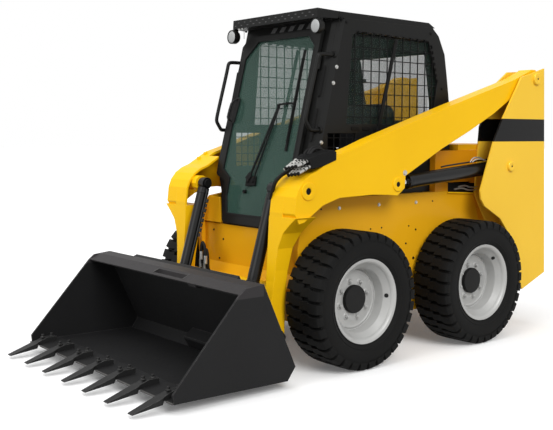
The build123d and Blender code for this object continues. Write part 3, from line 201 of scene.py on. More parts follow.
def paint(name, colour, roughness, coat, spec):
    """Dark enamel with slight mottling, orange peel, scuffed edges and a little dust low down."""
    made = Surface(name, Coat_Roughness=0.12, Specular_IOR_Level=spec)
    speck = made.noise(38.0, 6.0, 0.65)
    tone = made.mix(made.noise(2.2, 5.0).above(0.35, 0.4), colour, tuple(part * 1.25 for part in colour))
    low = made.place("Z").below(0.62, 0.6) * speck.above(0.42, 0.3) * 0.05
    tone = made.mix(low, tone, (0.3, 0.26, 0.2))
    edge = made.worn(3.0) * speck.above(0.4, 0.3)
    tone = made.mix(edge * 0.5, tone, tuple(part * 2.5 + 0.03 for part in colour))
    made.set(Base_Color=tone, Roughness=roughness + speck * 0.08 + low * 0.4, Coat_Weight=coat * (1 - low))
    made.bump(made.noise(420.0, 2.0), 0.03, 3.0)
    return made.material


def yellow_paint(name, colour, shadow, coat=0.05, band=None):
    """The machine's yellow, with an optional black band between two heights."""
    made = Surface(name, Coat_Roughness=0.1, Specular_IOR_Level=0.1)
    speck = made.noise(30.0, 6.0, 0.65)
    tone = made.mix(made.noise(1.6, 4.0).above(0.35, 0.35), colour, shadow)
    height = made.place("Z")
    low = height.below(0.7, 0.65) * speck.above(0.5, 0.3) * 0.12
    tone = made.mix(low, tone, (0.42, 0.24, 0.06))
    edge = made.worn(5.0) * speck.above(0.52, 0.2)
    tone = made.mix(edge * 0.35, tone, (1.0, 0.72, 0.16))
    if band:
        inside = height.above(mm(band[0]), 0.0015) * height.below(mm(band[1]), 0.0015)
        tone = made.mix(inside, tone, (0.003, 0.003, 0.003))
    made.set(Base_Color=tone, Roughness=0.36 + speck * 0.08 + low * 0.5, Coat_Weight=coat * (1 - low * 2))
    made.bump(made.noise(380.0, 2.0), 0.025, 5.0)
    return made.material


def rubber_tread():
    made = Surface("tyre_rubber", Specular_IOR_Level=0.12)
    speck = made.noise(60.0, 6.0, 0.7)
    cloud = made.noise(4.0, 4.0)
    tone = made.mix(cloud.above(0.4, 0.3), (0.0035, 0.0035, 0.0034), (0.006, 0.0059, 0.0057))
    tone = made.mix(speck.above(0.6, 0.15) * 0.12, tone, (0.035, 0.03, 0.025))
    made.set(Base_Color=tone, Roughness=0.62 + cloud * 0.2)
    made.bump(speck + made.noise(260.0, 3.0) * 0.4, 0.3)
    return made.material


def wheel_paint():
    made = Surface("wheel_silver", Coat_Roughness=0.3, Metallic=0.15, Specular_IOR_Level=0.35)
    speck = made.noise(70.0, 6.0, 0.7)
    tone = made.mix(made.noise(5.0, 5.0).above(0.35, 0.4), (0.43, 0.43, 0.42), (0.37, 0.37, 0.36))
    tone = made.mix(speck.above(0.6, 0.12) * 0.2, tone, (0.2, 0.18, 0.15))
    edge = made.worn(2.0)
    tone = made.mix(edge * 0.4, tone, (0.6, 0.6, 0.59))
    made.set(Base_Color=tone, Roughness=0.36 + speck * 0.14, Coat_Weight=0.1)
    made.bump(made.noise(300.0, 3.0), 0.04, 2.0)
    return made.material


def tinted_glass(name, alpha, colour, strip=None):
    """Dark green pane, with an optional deeper strip above a height."""
    made = Surface(name, Specular_IOR_Level=0.25, IOR=1.45)
    film = made.noise(2.4, 4.0)
    tone = made.mix(film.above(0.35, 0.4), colour, tuple(part * 1.2 for part in colour))
    cover = alpha + film * 0.02
    if strip:
        top = made.place("Z").above(mm(strip), 0.004)
        tone = made.mix(top * 0.6, tone, (0.05, 0.1, 0.07))
        cover = cover + top * 0.3
    made.set(Base_Color=tone, Roughness=0.03 + film * 0.03, Alpha=cover)
    made.material.surface_render_method = "BLENDED"
    return made.material


def steel_paint(name, colour, wear, roughness, lip=None):
    """Dark paint of a digging tool, with rubbed metal on its edges and long scratches."""
    made = Surface(name, Specular_IOR_Level=0.16)
    speck = made.noise(45.0, 6.0, 0.7)
    streak = made.noise(14.0, 6.0, 0.75, (1.0, 14.0, 5.0))
    tone = made.mix(made.noise(2.6, 5.0).above(0.35, 0.35), colour, tuple(part * 1.3 for part in colour))
    if lip:
        height, front, grey = lip
        edge = made.place("Z").above(mm(height), 0.004) * made.place("X").above(mm(front - MIDDLE_X), 0.004)
        tone = made.mix(edge, tone, grey)
    rub = made.worn(2.5) * speck.above(0.36, 0.25)
    tone = made.mix(rub * wear, tone, (0.2, 0.195, 0.19))
    tone = made.mix(streak.above(0.66, 0.08) * 0.2 * wear, tone, (0.06, 0.057, 0.053))
    rust = made.noise(9.0, 8.0, 0.8).above(0.72, 0.03) * speck.above(0.5, 0.1)
    tone = made.mix(rust * 0.6, tone, (0.12, 0.05, 0.02))
    made.set(Base_Color=tone, Roughness=roughness + speck * 0.16, Metallic=rub * 0.4 * wear)
    made.bump(speck + streak * 0.5, 0.1, 2.5)
    return made.material


def bare_metal(name, colour, roughness, metallic=1.0):
    made = Surface(name)
    brushed = made.noise(90.0, 4.0, 0.6, (1.0, 1.0, 9.0))
    tone = made.mix(brushed.above(0.35, 0.4), colour, tuple(part * 0.75 for part in colour))
    made.set(Base_Color=tone, Roughness=roughness + brushed * 0.1, Metallic=metallic)
    made.bump(brushed, 0.03, 1.0)
    return made.material


def plain_stuff(name, colour, roughness, grain, depth):
    """Moulded plastic, rubber or vinyl with a fine grain."""
    made = Surface(name, Specular_IOR_Level=0.15)
    speck = made.noise(grain, 5.0, 0.6)
    tone = made.mix(speck.above(0.4, 0.4), colour, tuple(part * 1.35 for part in colour))
    made.set(Base_Color=tone, Roughness=roughness + speck * 0.15)
    made.bump(speck, depth, 2.0)
    return made.material


def lamp_glass(name, pale, dark):
    """Ribbed lens of a lamp."""
    made = Surface(name, Coat_Weight=0.4, Coat_Roughness=0.05, Specular_IOR_Level=0.3)
    rib = made.node("ShaderNodeTexWave", {"bands_direction": "Y"}, {"Vector": made.place(), "Scale": 42.0}, 1)
    made.set(Base_Color=made.mix(rib, pale, dark), Roughness=0.25)
    made.bump(rib, 0.5)
    return made.material


# One yellow paint in lit and shaded copies: this darker copy on the frame, the panels and the hood is painted
# shade
SHADED_YELLOW = yellow_paint("body_yellow", (0.80, 0.40, 0.008), (0.74, 0.35, 0.006))
# darker, more orange copy of the same yellow: painted shade on the engine housing
SHADED_HOUSING_YELLOW = yellow_paint("housing_yellow_painted_shade", (0.72, 0.29, 0.006), (0.66, 0.25, 0.005))
# lighter copy of the same yellow, painted light, on the arms and their fittings and on the lips of the body's
# slots
LIT_YELLOW = yellow_paint("arm_yellow_lit", (0.92, 0.53, 0.005), (0.87, 0.49, 0.004))
# paler, bluer copy of the same yellow: painted sheen on the towers; the black band between two heights is
# part of the paint
SHEEN_TOWER_YELLOW = yellow_paint("tower_yellow_painted_sheen", (0.90, 0.56, 0.04), (0.86, 0.52, 0.034), 0.12, (1233, 1379))
CAB = paint("cab_black", (0.0055, 0.0056, 0.0053), 0.42, 0.04, 0.12)
GLOSS = paint("cylinder_black", (0.0025, 0.0025, 0.0025), 0.3, 0.16, 0.16)
MATT = paint("post_black", (0.004, 0.004, 0.004), 0.5, 0.0, 0.1)
RUBBER = rubber_tread()
SILVER = wheel_paint()
GLASS = tinted_glass("door_tint", 0.44, (0.045, 0.095, 0.075), 1835)
SIDE_GLASS = tinted_glass("side_tint", 0.27, (0.02, 0.036, 0.028))
# the top lip is paler: height and X that it starts from, and its grey
BUCKET_LIP = (492, 1225, (0.028, 0.026, 0.027))
BUCKET = steel_paint("bucket_charcoal", (0.0075, 0.0075, 0.0078), 0.45, 0.5, BUCKET_LIP)
TOOTH = steel_paint("tooth_charcoal", (0.012, 0.012, 0.012), 0.7, 0.4)
EDGE = steel_paint("edge_grey", (0.07, 0.068, 0.066), 0.5, 0.45)
CHROME = bare_metal("rod_chrome", (0.62, 0.63, 0.64), 0.1)
ZINC = bare_metal("zinc_plate", (0.5, 0.5, 0.48), 0.3, 0.7)
IRON = plain_stuff("cast_iron", (0.02, 0.02, 0.02), 0.6, 90.0, 0.3)
HOSE = plain_stuff("hose_rubber", (0.006, 0.006, 0.006), 0.5, 220.0, 0.15)
PLASTIC = plain_stuff("black_plastic", (0.009, 0.009, 0.009), 0.5, 300.0, 0.06)
VINYL = plain_stuff("seat_vinyl", (0.012, 0.012, 0.013), 0.5, 240.0, 0.12)
SLOT_GREY = plain_stuff("slot_grey", (0.1, 0.1, 0.1), 0.6, 200.0, 0.05)
LAMP = lamp_glass("lamp_glass", (0.42, 0.43, 0.43), (0.34, 0.35, 0.35))
RED_LAMP = lamp_glass("tail_lamp_red", (0.4, 0.015, 0.012), (0.3, 0.01, 0.008))


# strength of the surround on the object itself; the eye sees it as plain white
FILL_LIGHT = 0.4
# direction that each lamp shines from, its strength and how many degrees wide it looks
SUNS = {
    "key": ((0.25, 0.8, 0.62), 2.0, 30),
    "sky": ((0.35, -0.1, 1.0), 1.2, 70),
    "front": ((1.0, 0.1, 0.4), 0.95, 40),
}
FLOOR_REACH = 60.0


def light_up():
    """Soft studio lamps, a pale floor and a white surround."""
    scene = bpy.context.scene
    scene.view_settings.view_transform = "Standard"
    world = bpy.data.worlds.new("studio")
    scene.world = world
    world.use_nodes = True
    background = world.node_tree.nodes["Background"]
    surround = Nodes(world.node_tree)
    surround.plug(background.inputs["Color"], (1.0, 1.0, 1.0))
    strength = FILL_LIGHT + surround.seen_directly() * (1 - FILL_LIGHT)
    surround.plug(background.inputs["Strength"], strength)
    for name, (place, energy, spread) in SUNS.items():
        lamp = bpy.data.lights.new(name, "SUN")
        lamp.energy = energy
        lamp.angle = math.radians(spread)
        holder = bpy.data.objects.new(name, lamp)
        scene.collection.objects.link(holder)
        holder.rotation_euler = (-Vector(place)).to_track_quat("-Z", "Y").to_euler()
    floor_mesh = bpy.data.meshes.new("floor")
    corners = [(x * FLOOR_REACH, y * FLOOR_REACH, 0) for x, y in ((-1, -1), (1, -1), (1, 1), (-1, 1))]
    floor_mesh.from_pydata(corners, [], [(0, 1, 2, 3)])
    floor = bpy.data.objects.new("floor", floor_mesh)
    scene.collection.objects.link(floor)
    floor_mesh.materials.append(floor_paint())


def floor_paint():
    """White floor to the eye, and a greyer one to the light that it throws back."""
    made = Surface("floor_white", Roughness=0.9, Specular_IOR_Level=0.0, Emission_Strength=0.1)
    made.set(Base_Color=(0.95, 0.95, 0.95), Emission_Color=(1.0, 1.0, 1.0))
    white = Shade(made, made.principled.outputs[0])
    grey = made.node("ShaderNodeBsdfDiffuse", None, {"Color": (0.42, 0.42, 0.42)})
    blend = made.node("ShaderNodeMixShader", None, {0: made.seen_directly(), 1: grey, 2: white})
    made.plug(made.tree.nodes["Material Output"].inputs["Surface"], blend)
    return made.material


aim_camera()
light_up()


# ------------------------------------------------------------ pieces
BOTH_SIDES = (1, -1)
SIDES = {"left": 1, "right": -1}


def span(side, near, far):
    """Low and high Y of a stretch on one side of the machine."""
    return sorted((side * near, side * far))


def turns(steps):
    """Angles of equal steps round a circle."""
    return [2 * math.pi * step / steps for step in range(steps)]


def ring_about(centre, radius, side, other, steps):
    """Points of a circle in the plane of two directions."""
    return [centre + radius * (math.cos(angle) * side + math.sin(angle) * other) for angle in turns(steps)]


class Piece:
    """A mesh under construction. Lengths are millimetres in the source's frame."""

    def __init__(self, name):
        self.name = name
        self.mesh = bmesh.new()

    def points(self, rows):
        return [[self.mesh.verts.new(at(*spot)) for spot in row] for row in rows]

    def skin(self, rings):
        """Join rings of points, each ring closed, into a surface with capped ends."""
        rows = self.points(rings)
        count = len(rows[0])
        for low, high in zip(rows, rows[1:]):
            for index in range(count):
                after = (index + 1) % count
                self.mesh.faces.new((low[index], low[after], high[after], high[index]))
        self.mesh.faces.new(list(reversed(rows[0])))
        self.mesh.faces.new(rows[-1])

    def wrap(self, rows):
        """Join rows of points into a surface that closes both ways."""
        rows = self.points(rows)
        count = len(rows[0])
        for low, high in zip(rows, [*rows[1:], rows[0]]):
            for index in range(count):
                after = (index + 1) % count
                self.mesh.faces.new((low[index], high[index], high[after], low[after]))

    def lathe(self, profile, centre, steps):
        """Turn (y, radius) points about the Y axis through an (x, z) centre."""
        x, z = centre
        self.wrap([
            [(x + radius * math.cos(angle), y, z + radius * math.sin(angle)) for y, radius in profile]
            for angle in turns(steps)
        ])

    def turn_x(self, profile, y, z):
        """Turn (x, radius) points about an axis along X."""
        self.wrap([
            [(x, y + radius * math.cos(angle), z + radius * math.sin(angle)) for x, radius in profile]
            for angle in turns(48)
        ])

    def turn_bar(self, start, end, profile):
        """Turn (distance from start, radius) points about the line from start towards end."""
        first = Vector(start)
        along = (Vector(end) - first).normalized()
        side = Vector((0, 1, 0))
        other = along.cross(side)
        self.skin([
            ring_about(first + along * distance, radius, side, other, 56) for distance, radius in profile
        ])

    def prism(self, outline, y_low, y_high):
        """Prism of an (x, z) outline between two Y planes."""
        self.skin([[(x, y, z) for x, z in outline] for y in (y_low, y_high)])

    def rod(self, start, end, radius, sides, end_radius=None):
        """Cylinder or cone between two points."""
        first, last = Vector(start), Vector(end)
        along = (last - first).normalized()
        side = along.orthogonal().normalized()
        other = along.cross(side)
        ends = ((first, radius), (last, radius if end_radius is None else end_radius))
        self.skin([ring_about(spot, reach, side, other, sides) for spot, reach in ends])

    def block(self, low, high):
        """Box between two corners."""
        x0, y0, z0 = low
        x1, y1, z1 = high
        self.skin([[(x0, y0, z), (x1, y0, z), (x1, y1, z), (x0, y1, z)] for z in (z0, z1)])

    def bolt(self, spot, outward, size, head):
        """Hexagon bolt head on a washer."""
        foot = Vector(spot)
        axis = Vector(outward).normalized()
        self.rod(foot - axis, foot + axis * 2.0, size * 1.25, 20)
        self.rod(foot + axis * 2.0, foot + axis * (2.0 + head), size, 6, size * 0.94)

    def stack(self, start, along, parts):
        """Cylinders in a line, each with its near and far distance from start, radius and sides."""
        for near, far, radius, sides in parts:
            self.rod(start + along * near, start + along * far, radius, sides)

    def data(self):
        bmesh.ops.recalc_face_normals(self.mesh, faces=self.mesh.faces)
        data = bpy.data.meshes.new(self.name)
        self.mesh.to_mesh(data)
        self.mesh.free()
        return data

    def done(self, *looks, **more):
        return dress(self.data(), self.name, *looks, **more)


def settle(name, data, material, body, replaces):
    """Object with its finish, on the body that it moves with."""
    made = bpy.data.objects.new(name, data)
    bpy.context.scene.collection.objects.link(made)
    data.materials.append(material)
    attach(made, body)
    if replaces:
        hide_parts(*replaces)
    return made


def dress(data, name, body, material, slot, bevel=0.0, segments=2, replaces=()):
    """Object of a mesh, shaded smooth between its sharp edges, with those edges rounded when a bevel width is
    given.
    """
    made = settle(name, data, material, body, replaces)
    data.set_sharp_from_angle(angle=math.radians(35))
    for face in data.polygons:
        face.use_smooth = True
    if bevel:
        rounding = made.modifiers.new("rounding", "BEVEL")
        rounding.width = mm(bevel)
        rounding.segments = segments
        rounding.limit_method = "ANGLE"
        rounding.angle_limit = math.radians(40)
    return made


def tube(name, points, radius, body, material, replaces=()):
    """Round tube along a smooth line."""
    line = bpy.data.curves.new(name, "CURVE")
    line.dimensions = "3D"
    line.bevel_depth = mm(radius)
    line.bevel_resolution = 6
    line.resolution_u = 12
    line.use_fill_caps = True
    route = line.splines.new("NURBS")
    route.points.add(len(points) - 1)
    for spot, point in zip(points, route.points):
        point.co = (*at(*spot), 1)
    route.order_u = 3
    route.use_endpoint_u = True
    settle(name, line, material, body, replaces)


# ------------------------------------------------------------ wheels
AXLE_X = 501.5
AXLE_Z = 378.0
TYRE_MIDDLE = 632.0
TREAD = 378.0
LUGS = 34
# distance across from the tyre's middle, low and high edge round it, radius of the lug's top
LUG_ROWS = [
    (-8, -14, 28, 376),
    (12, -14, 32, 378),
    (56, -13, 35, 378),
    (68, -26, 26, 378),
    (110, -27, 24, 377),
    (124, -27, 24, 371),
    (132.0, -26, 23, 356),
    (131.5, -24, 21, 342),
]
CARCASS = [
    (-106, 212), (-107, 230), (-116, 244), (-127, 272), (-130, 305), (-129, 336), (-122, 349), (-100, 355),
    (-50, 357), (0, 358), (50, 357), (100, 355), (122, 349), (129, 336), (130, 305), (127, 272),
    (124, 262), (126, 259), (122, 252), (116, 244), (107, 230), (106, 212),
]


def carcass_radius(across):
    """Outer radius of the tyre between its lugs."""
    reach = abs(across)
    rows = [(0, 358), (50, 357), (100, 355), (122, 349), (129, 336), (140, 330)]
    for (near, high), (far, low) in zip(rows, rows[1:]):
        if reach <= far:
            return high + (low - high) * (reach - near) / (far - near)
    return 330


def make_tyre():
    """Tyre about the left front axle, with staggered stepped lugs."""
    piece = Piece("tyre")
    piece.lathe([(TYRE_MIDDLE + across, radius) for across, radius in CARCASS], (AXLE_X, AXLE_Z), 136)
    pitch = 2 * math.pi / LUGS
    for side in BOTH_SIDES:
        for index in range(LUGS):
            turn = pitch * (index + (0.5 if side < 0 else 0))
            rings = []
            for across, low, high, top in LUG_ROWS:
                foot = carcass_radius(across) - 4
                ring = []
                for edge, radius in ((low - 4, foot), (low, top), (high, top), (high + 4, foot)):
                    angle = turn + side * edge / TREAD
                    ring.append((
                        AXLE_X + radius * math.cos(angle),
                        TYRE_MIDDLE + side * across,
                        AXLE_Z + radius * math.sin(angle),
                    ))
                rings.append(ring)
            piece.skin(rings)
    return piece


# axle's X, side, and degrees round the rim to the valve
WHEELS = {
    "front_left": (AXLE_X, 1, 178), "front_right": (AXLE_X, -1, 20),
    "rear_left": (-AXLE_X, 1, 135), "rear_right": (-AXLE_X, -1, 70),
}
NUTS = 8
NUT_CIRCLE = 104.0
VALVE_RADIUS = 192.0
VALVE_Y = 708.0
# (y, radius) points of the rim's section, and of the hub cap's
RIM = [
    (747, 229), (748, 231), (745, 233), (741, 231), (739, 222), (739, 214), (700, 210), (690, 204),
    (560, 204), (529, 212), (529, 230), (526, 231), (523, 229), (522, 212), (540, 200), (640, 172),
    (626, 168), (626, 40), (640, 40), (640, 76), (640, 122), (639, 124), (639, 150), (642, 153),
    (642, 160), (637, 165), (636, 170), (642, 173), (694, 176), (699, 179), (724, 203), (728, 205),
    (733, 206), (738, 211), (742, 214), (746, 221),
]
HUB_CAP = [(640, 78), (655, 78), (662, 75), (664, 70), (664, 0.5), (640, 0.5)]


def make_rim():
    """Rim about the left front axle with its disc, nuts and studs."""
    piece = Piece("rim")
    piece.lathe(RIM, (AXLE_X, AXLE_Z), 112)
    for index in range(NUTS):
        angle = math.pi / NUTS + index * 2 * math.pi / NUTS + 0.12
        x, z = AXLE_X + NUT_CIRCLE * math.cos(angle), AXLE_Z + NUT_CIRCLE * math.sin(angle)
        piece.rod((x, 639, z), (x, 643, z), 21, 24, 17)
        piece.rod((x, 642, z), (x, 655, z), 12.5, 6, 11.5)
        piece.rod((x, 654, z), (x, 661, z), 7, 12)
    return piece


def make_cap(turn):
    """Dark hub cap, and the valve's hole at an angle round the rim's barrel."""
    piece = Piece("cap")
    piece.lathe(HUB_CAP, (AXLE_X, AXLE_Z), 72)
    angle = math.radians(turn)
    spot = Vector((AXLE_X + VALVE_RADIUS * math.cos(angle), VALVE_Y, AXLE_Z + VALVE_RADIUS * math.sin(angle)))
    out = Vector((-math.cos(angle), 1, -math.sin(angle))).normalized()
    piece.rod(spot - out * 6, spot + out * 5.5, 12, 24)
    return piece


def at_axle(data, axle_x, side):
    """Copy of a left front wheel's mesh at another axle."""
    copy = data.copy()
    centre = at(AXLE_X, 0, AXLE_Z)
    target = at(axle_x, 0, AXLE_Z)
    spin = Matrix.Rotation(0 if side > 0 else math.pi, 4, "Z")
    copy.transform(Matrix.Translation(target) @ spin @ Matrix.Translation(-centre))
    return copy


def wheels():
    """Four wheels from the meshes of the left front one."""
    tyre_mesh, rim_mesh = make_tyre().data(), make_rim().data()
    for name, (axle_x, side, valve_turn) in WHEELS.items():
        body = f"wheel_{name}"
        cap_mesh = make_cap(valve_turn).data()
        tyre, rim, cap = (at_axle(mesh, axle_x, side) for mesh in (tyre_mesh, rim_mesh, cap_mesh))
        dress(tyre, f"lugged_tyre_{name}", body, RUBBER, "tyre", 2.2, 2, (f"tyre_{name}",))
        dress(rim, f"dished_rim_{name}", body, SILVER, "rim_silver", 1.2, 2, (f"rim_{name}",))
        dress(cap, f"hub_cap_{name}", body, PLASTIC, "tyre")


wheels()


# ------------------------------------------------------------ cab
POST_LEAN = 0.242
POST_FOOT = (730.0, 733.0)
CAB_HALF = 440.0


def post_x(z):
    """Front edge of the cab's posts at a height."""
    return POST_FOOT[0] - POST_LEAN * (z - POST_FOOT[1])


def window_clips(piece, side):
    """Guard bar, and the clips that hold the side window's screen."""
    low, high = span(side, CAB_HALF, CAB_HALF + 9)
    piece.prism([(-31, 1833), (-7, 1833), (149, 1249), (125, 1249)], low, high)
    for index in range(10):
        x = -290 + index * 62
        piece.block((x, low, 1846 + x * 0.02), (x + 24, high, 1856 + x * 0.02))
    for index in range(7):
        x, z = -330 - index * 9, 1800 - index * 34
        piece.block((x - 14, low, z), (x - 2, high, z + 20))
    sill_high = CAB_HALF + 4.5 if side > 0 else high
    for index in range(8):
        x = -340 + index * 88
        piece.block((x, low, 1300), (x + 60, sill_high, 1322))


def low_screen(piece, side):
    """Upright and level bars of the screen in the low window."""
    low, high = span(side, CAB_HALF - 12, CAB_HALF - 7)
    for index in range(5):
        x = 312 + index * 49
        piece.block((x, low, 1070), (x + 5, high, 1287))
    low, high = span(side, CAB_HALF - 17.5, CAB_HALF - 12.5)
    for index in range(4):
        z = 1098 + index * 52
        piece.block((296, low, z), (524, high, z + 5))


def post_trim(piece, side):
    """Seam behind the visor's cheek, hinge strips down the post and hinges of the rear window."""
    low, high = span(side, CAB_HALF, CAB_HALF + 1.5)
    seam_x = post_x(1940)
    piece.block((seam_x - 4, low, 1875), (seam_x - 1, high, 1962))
    low, high = span(side, 398, 412)
    for bottom, top in ((1240, 1420), (1490, 1660)):
        piece.skin([
            [(post_x(z) - 2 + reach, y, z) for reach, y in ((0, low), (9, low), (9, high), (0, high))]
            for z in (bottom, top)
        ])
    low, high = span(side, 330, 372)
    for z in (1480, 1631):
        piece.block((-545, low, z), (-505, high, z + 26))


def cab_trim():
    """Guard bars, screens, clips, hinges and bolts on both sides of the cab."""
    black, zinc = Piece("cab_side_trim"), Piece("cab_bolts")
    for side in BOTH_SIDES:
        window_clips(black, side)
        low_screen(black, side)
        for x, z in ((462, 1652), (486, 1562), (572, 1231)):
            zinc.bolt((x - 9, side * CAB_HALF, z), (0, side, 0), 9, 5)
        for x, z in ((420, 1925), (380, 1905), (-330, 1890), (-440, 1560)):
            black.bolt((x, side * CAB_HALF, z), (0, side, 0), 8, 4)
        post_trim(black, side)
    black.done("chassis", MATT, "cab_black", 0.8)
    zinc.done("chassis", ZINC, "rod_chrome", 0.5)


def roof_front():
    """Slanted slots of the header and two rows of vents on the visor's leaning face."""
    slots = Piece("header_slots")
    for index in range(5):
        y = -150 + index * 82
        outline = [(y, 1882), (y + 42, 1882), (y + 62, 1914), (y + 20, 1914)]
        slots.skin([[(post_x(z) + reach, across, z) for across, z in outline] for reach in (0.2, 2.0)])
    slots.done("chassis", SLOT_GREY, "cab_black", 0.5)
    vents = Piece("visor_vents")
    for row, z in enumerate((1938, 1956)):
        for index in range(13):
            y = -372 + index * 60 + row * 30
            if y < 368:
                x = 560 - (z - 1921) * 5 / 53
                vents.block((x - 1, y, z - 2.2), (x + 0.6, y + 15, z + 2.2))
    vents.done("chassis", SLOT_GREY, "cab_black", 0.3)


LAMP_Y = 390.0
LAMP_Z = 1874.0
# (x, radius) points of the work lamp's housing and of its domed lens
LAMP_HOUSING = [
    (522, 22), (528, 34), (540, 41), (566, 42), (574, 42), (574, 38), (570, 37), (570, 0.5), (522, 0.5),
]
LAMP_LENS = [(570, 37), (573, 34), (576, 24), (577.5, 12), (578, 0.5), (570, 0.5)]


def lamps():
    """Round work lamps with their rims, lenses and brackets."""
    housing, lens = Piece("lamp_housings"), Piece("lamp_lenses")
    for side in BOTH_SIDES:
        y, z = side * LAMP_Y, LAMP_Z
        housing.turn_x(LAMP_HOUSING, y, z)
        lens.turn_x(LAMP_LENS, y, z)
        housing.block((528, y - 14, z + 36), (556, y + 14, 1920.5))
        housing.block((532, y - 20, z + 6), (540, y + 20, z + 46))
        for across in (-10, 10):
            housing.bolt((542, y + across, 1919), (0, 0, -1), 5, 3)
    housing.done("chassis", CAB, "cab_black", 1.0, replaces=("work_lamps",))
    lens.done("chassis", LAMP, "lamp_lens", 0.5)
    bolts = Piece("lamp_bolts")
    for y in (-330, -300, -338):
        bolts.bolt((552, y, 1920), (0, 0, -1), 6, 4)
    bolts.done("chassis", ZINC, "rod_chrome")


HANDLE_Y = 420.0
HANDLE_LOW, HANDLE_TOP = 1300.0, 1721.0
HANDLE_ROUTE = [
    (post_x(HANDLE_TOP) - 48, HANDLE_TOP), (post_x(HANDLE_TOP) + 30, HANDLE_TOP),
    (post_x(HANDLE_TOP) + 72, HANDLE_TOP - 1), (post_x(HANDLE_TOP) + 84, HANDLE_TOP - 16),
    (post_x(HANDLE_TOP) + 90, HANDLE_TOP - 48), (660, 1390), (666, 1355), (652, 1333), (632, 1303),
    (622, 1299), (post_x(HANDLE_LOW) - 46, HANDLE_LOW),
]


def grab_rails():
    """Grab handles beside the door. The left one stands for both handles of the frame."""
    for name, side in SIDES.items():
        points = [(x, side * HANDLE_Y, z) for x, z in HANDLE_ROUTE]
        stands_for = ("grab_handles",) if side > 0 else ()
        tube(f"grab_rail_{name}", points, 11, "chassis", CAB, stands_for)
    flanges = Piece("grab_rail_feet")
    for side in BOTH_SIDES:
        for z in (HANDLE_TOP, HANDLE_LOW):
            x = post_x(z) - 34
            flanges.rod((x - 4, side * HANDLE_Y, z), (x + 8, side * HANDLE_Y, z), 20, 24)
    flanges.done("chassis", CAB, "cab_black", 0.8)


# gap behind the door, and the door's thickness, both along X
DOOR_GAP, DOOR_THICKNESS = 6.2, 24.7


def on_door(y, z, out):
    """Place so far off the cab door's outer face."""
    return Vector((post_x(z) + DOOR_GAP + DOOR_THICKNESS + out, y, z))


def door_bar(piece, start, end, half, low, high):
    """Flat bar over the door between two (y, z) points, from one height off it to another."""
    first, last = Vector(start), Vector(end)
    along = (last - first).normalized()
    across = Vector((-along.y, along.x)) * half
    ring = [first - across, last - across, last + across, first + across]
    piece.skin([[on_door(y, z, out) for y, z in ring] for out in (low, high)])


WIPER_PIVOT = (-49, 1000)
WIPER_ELBOW = (106, 1442)
WIPER_REST = (-4, 1002)
# (y, z) ends of each flat bar of the wiper, half its width, and how far off the door it starts and stops
WIPER_BARS = [
    (WIPER_PIVOT, WIPER_ELBOW, 7, 2, 10),
    (WIPER_REST, (112, 1436), 4.5, 2, 9),
    ((98, 1446), (182, 1452), 6, 3, 11),
    ((-72, 996), (16, 1004), 26, -8, 4),
    ((-62, 1010), (-36, 1040), 18, 2, 12),
    ((235, 1183), (238, 1756), 8, -7, 2),
    ((235, 1230), (238, 1710), 4, 2, 8),
    ((176, 1452), (240, 1452), 6, 3, 10),
]
# share along the latch's grip, and how far off the door it arches there
GRIP_ARCH = [(0, 2), (0.06, 26), (0.2, 38), (0.5, 40), (0.8, 38), (0.94, 26), (1, 2)]
GRIP_SECTION = [(-9, -6), (9, -6), (9, 6), (-9, 6)]
# (y, z) corners of the seal round the door's glass
DOOR_SEAL = [
    (-212, 800), (-248, 905), (-250, 1010), (-332, 1062), (-322, 1737), (-216, 1840),
    (251, 1840), (316, 1780), (316, 1062), (250, 1010), (248, 905), (212, 800),
]


def door_fittings():
    """Wiper, latch handle, knob and seal of the cab door."""
    wiper = Piece("wiper_gear")
    for bar in WIPER_BARS:
        door_bar(wiper, *bar)
    for spot in (WIPER_PIVOT, WIPER_REST, WIPER_ELBOW, (180, 1452)):
        wiper.rod(on_door(*spot, 2), on_door(*spot, 14), 9, 20)
    wiper.done("cab_door", MATT, "cab_black", 1.0, replaces=("wiper",))
    latch = Piece("door_latch")
    door_bar(latch, (-326, 1345), (-308, 1498), 20, -2, 5)
    latch.skin([
        [on_door(-332 + 18 * share + across, 1352 + 140 * share, out + more) for across, more in GRIP_SECTION]
        for share, out in GRIP_ARCH
    ])
    latch.done("cab_door", PLASTIC, "control_plastic", 2.0)
    knob = Piece("door_knob")
    knob.rod(on_door(-70, 938, -10), on_door(-70, 938, 8), 11, 24)
    knob.done("cab_door", MATT, "cab_black", 1.5)
    seal = Piece("door_seal")
    for first, last in zip(DOOR_SEAL, [*DOOR_SEAL[1:], DOOR_SEAL[0]]):
        door_bar(seal, first, last, 5, -10, 1.2)
    seal.done("cab_door", HOSE, "hose_rubber", 1.0)


def padding():
    """Seat of two crowned cushions with a sewn welt, on its pedestal."""
    base = Piece("seat_pedestal")
    base.block((-290, -298, 734), (100, 298, 829))
    base.block((-240, -190, 829), (250, 190, 850))
    base.done("chassis", PLASTIC, "control_plastic", 8.0, 3, replaces=("seat",))
    cushion = pillow("seat_cushion", (80, 0, 902), (228, 226, 56), 0.05)
    back = pillow("seat_backrest", (-212, 0, 1216), (62, 222, 262), -0.13)


def signed_power(value, exponent):
    return math.copysign(abs(value) ** exponent, value)


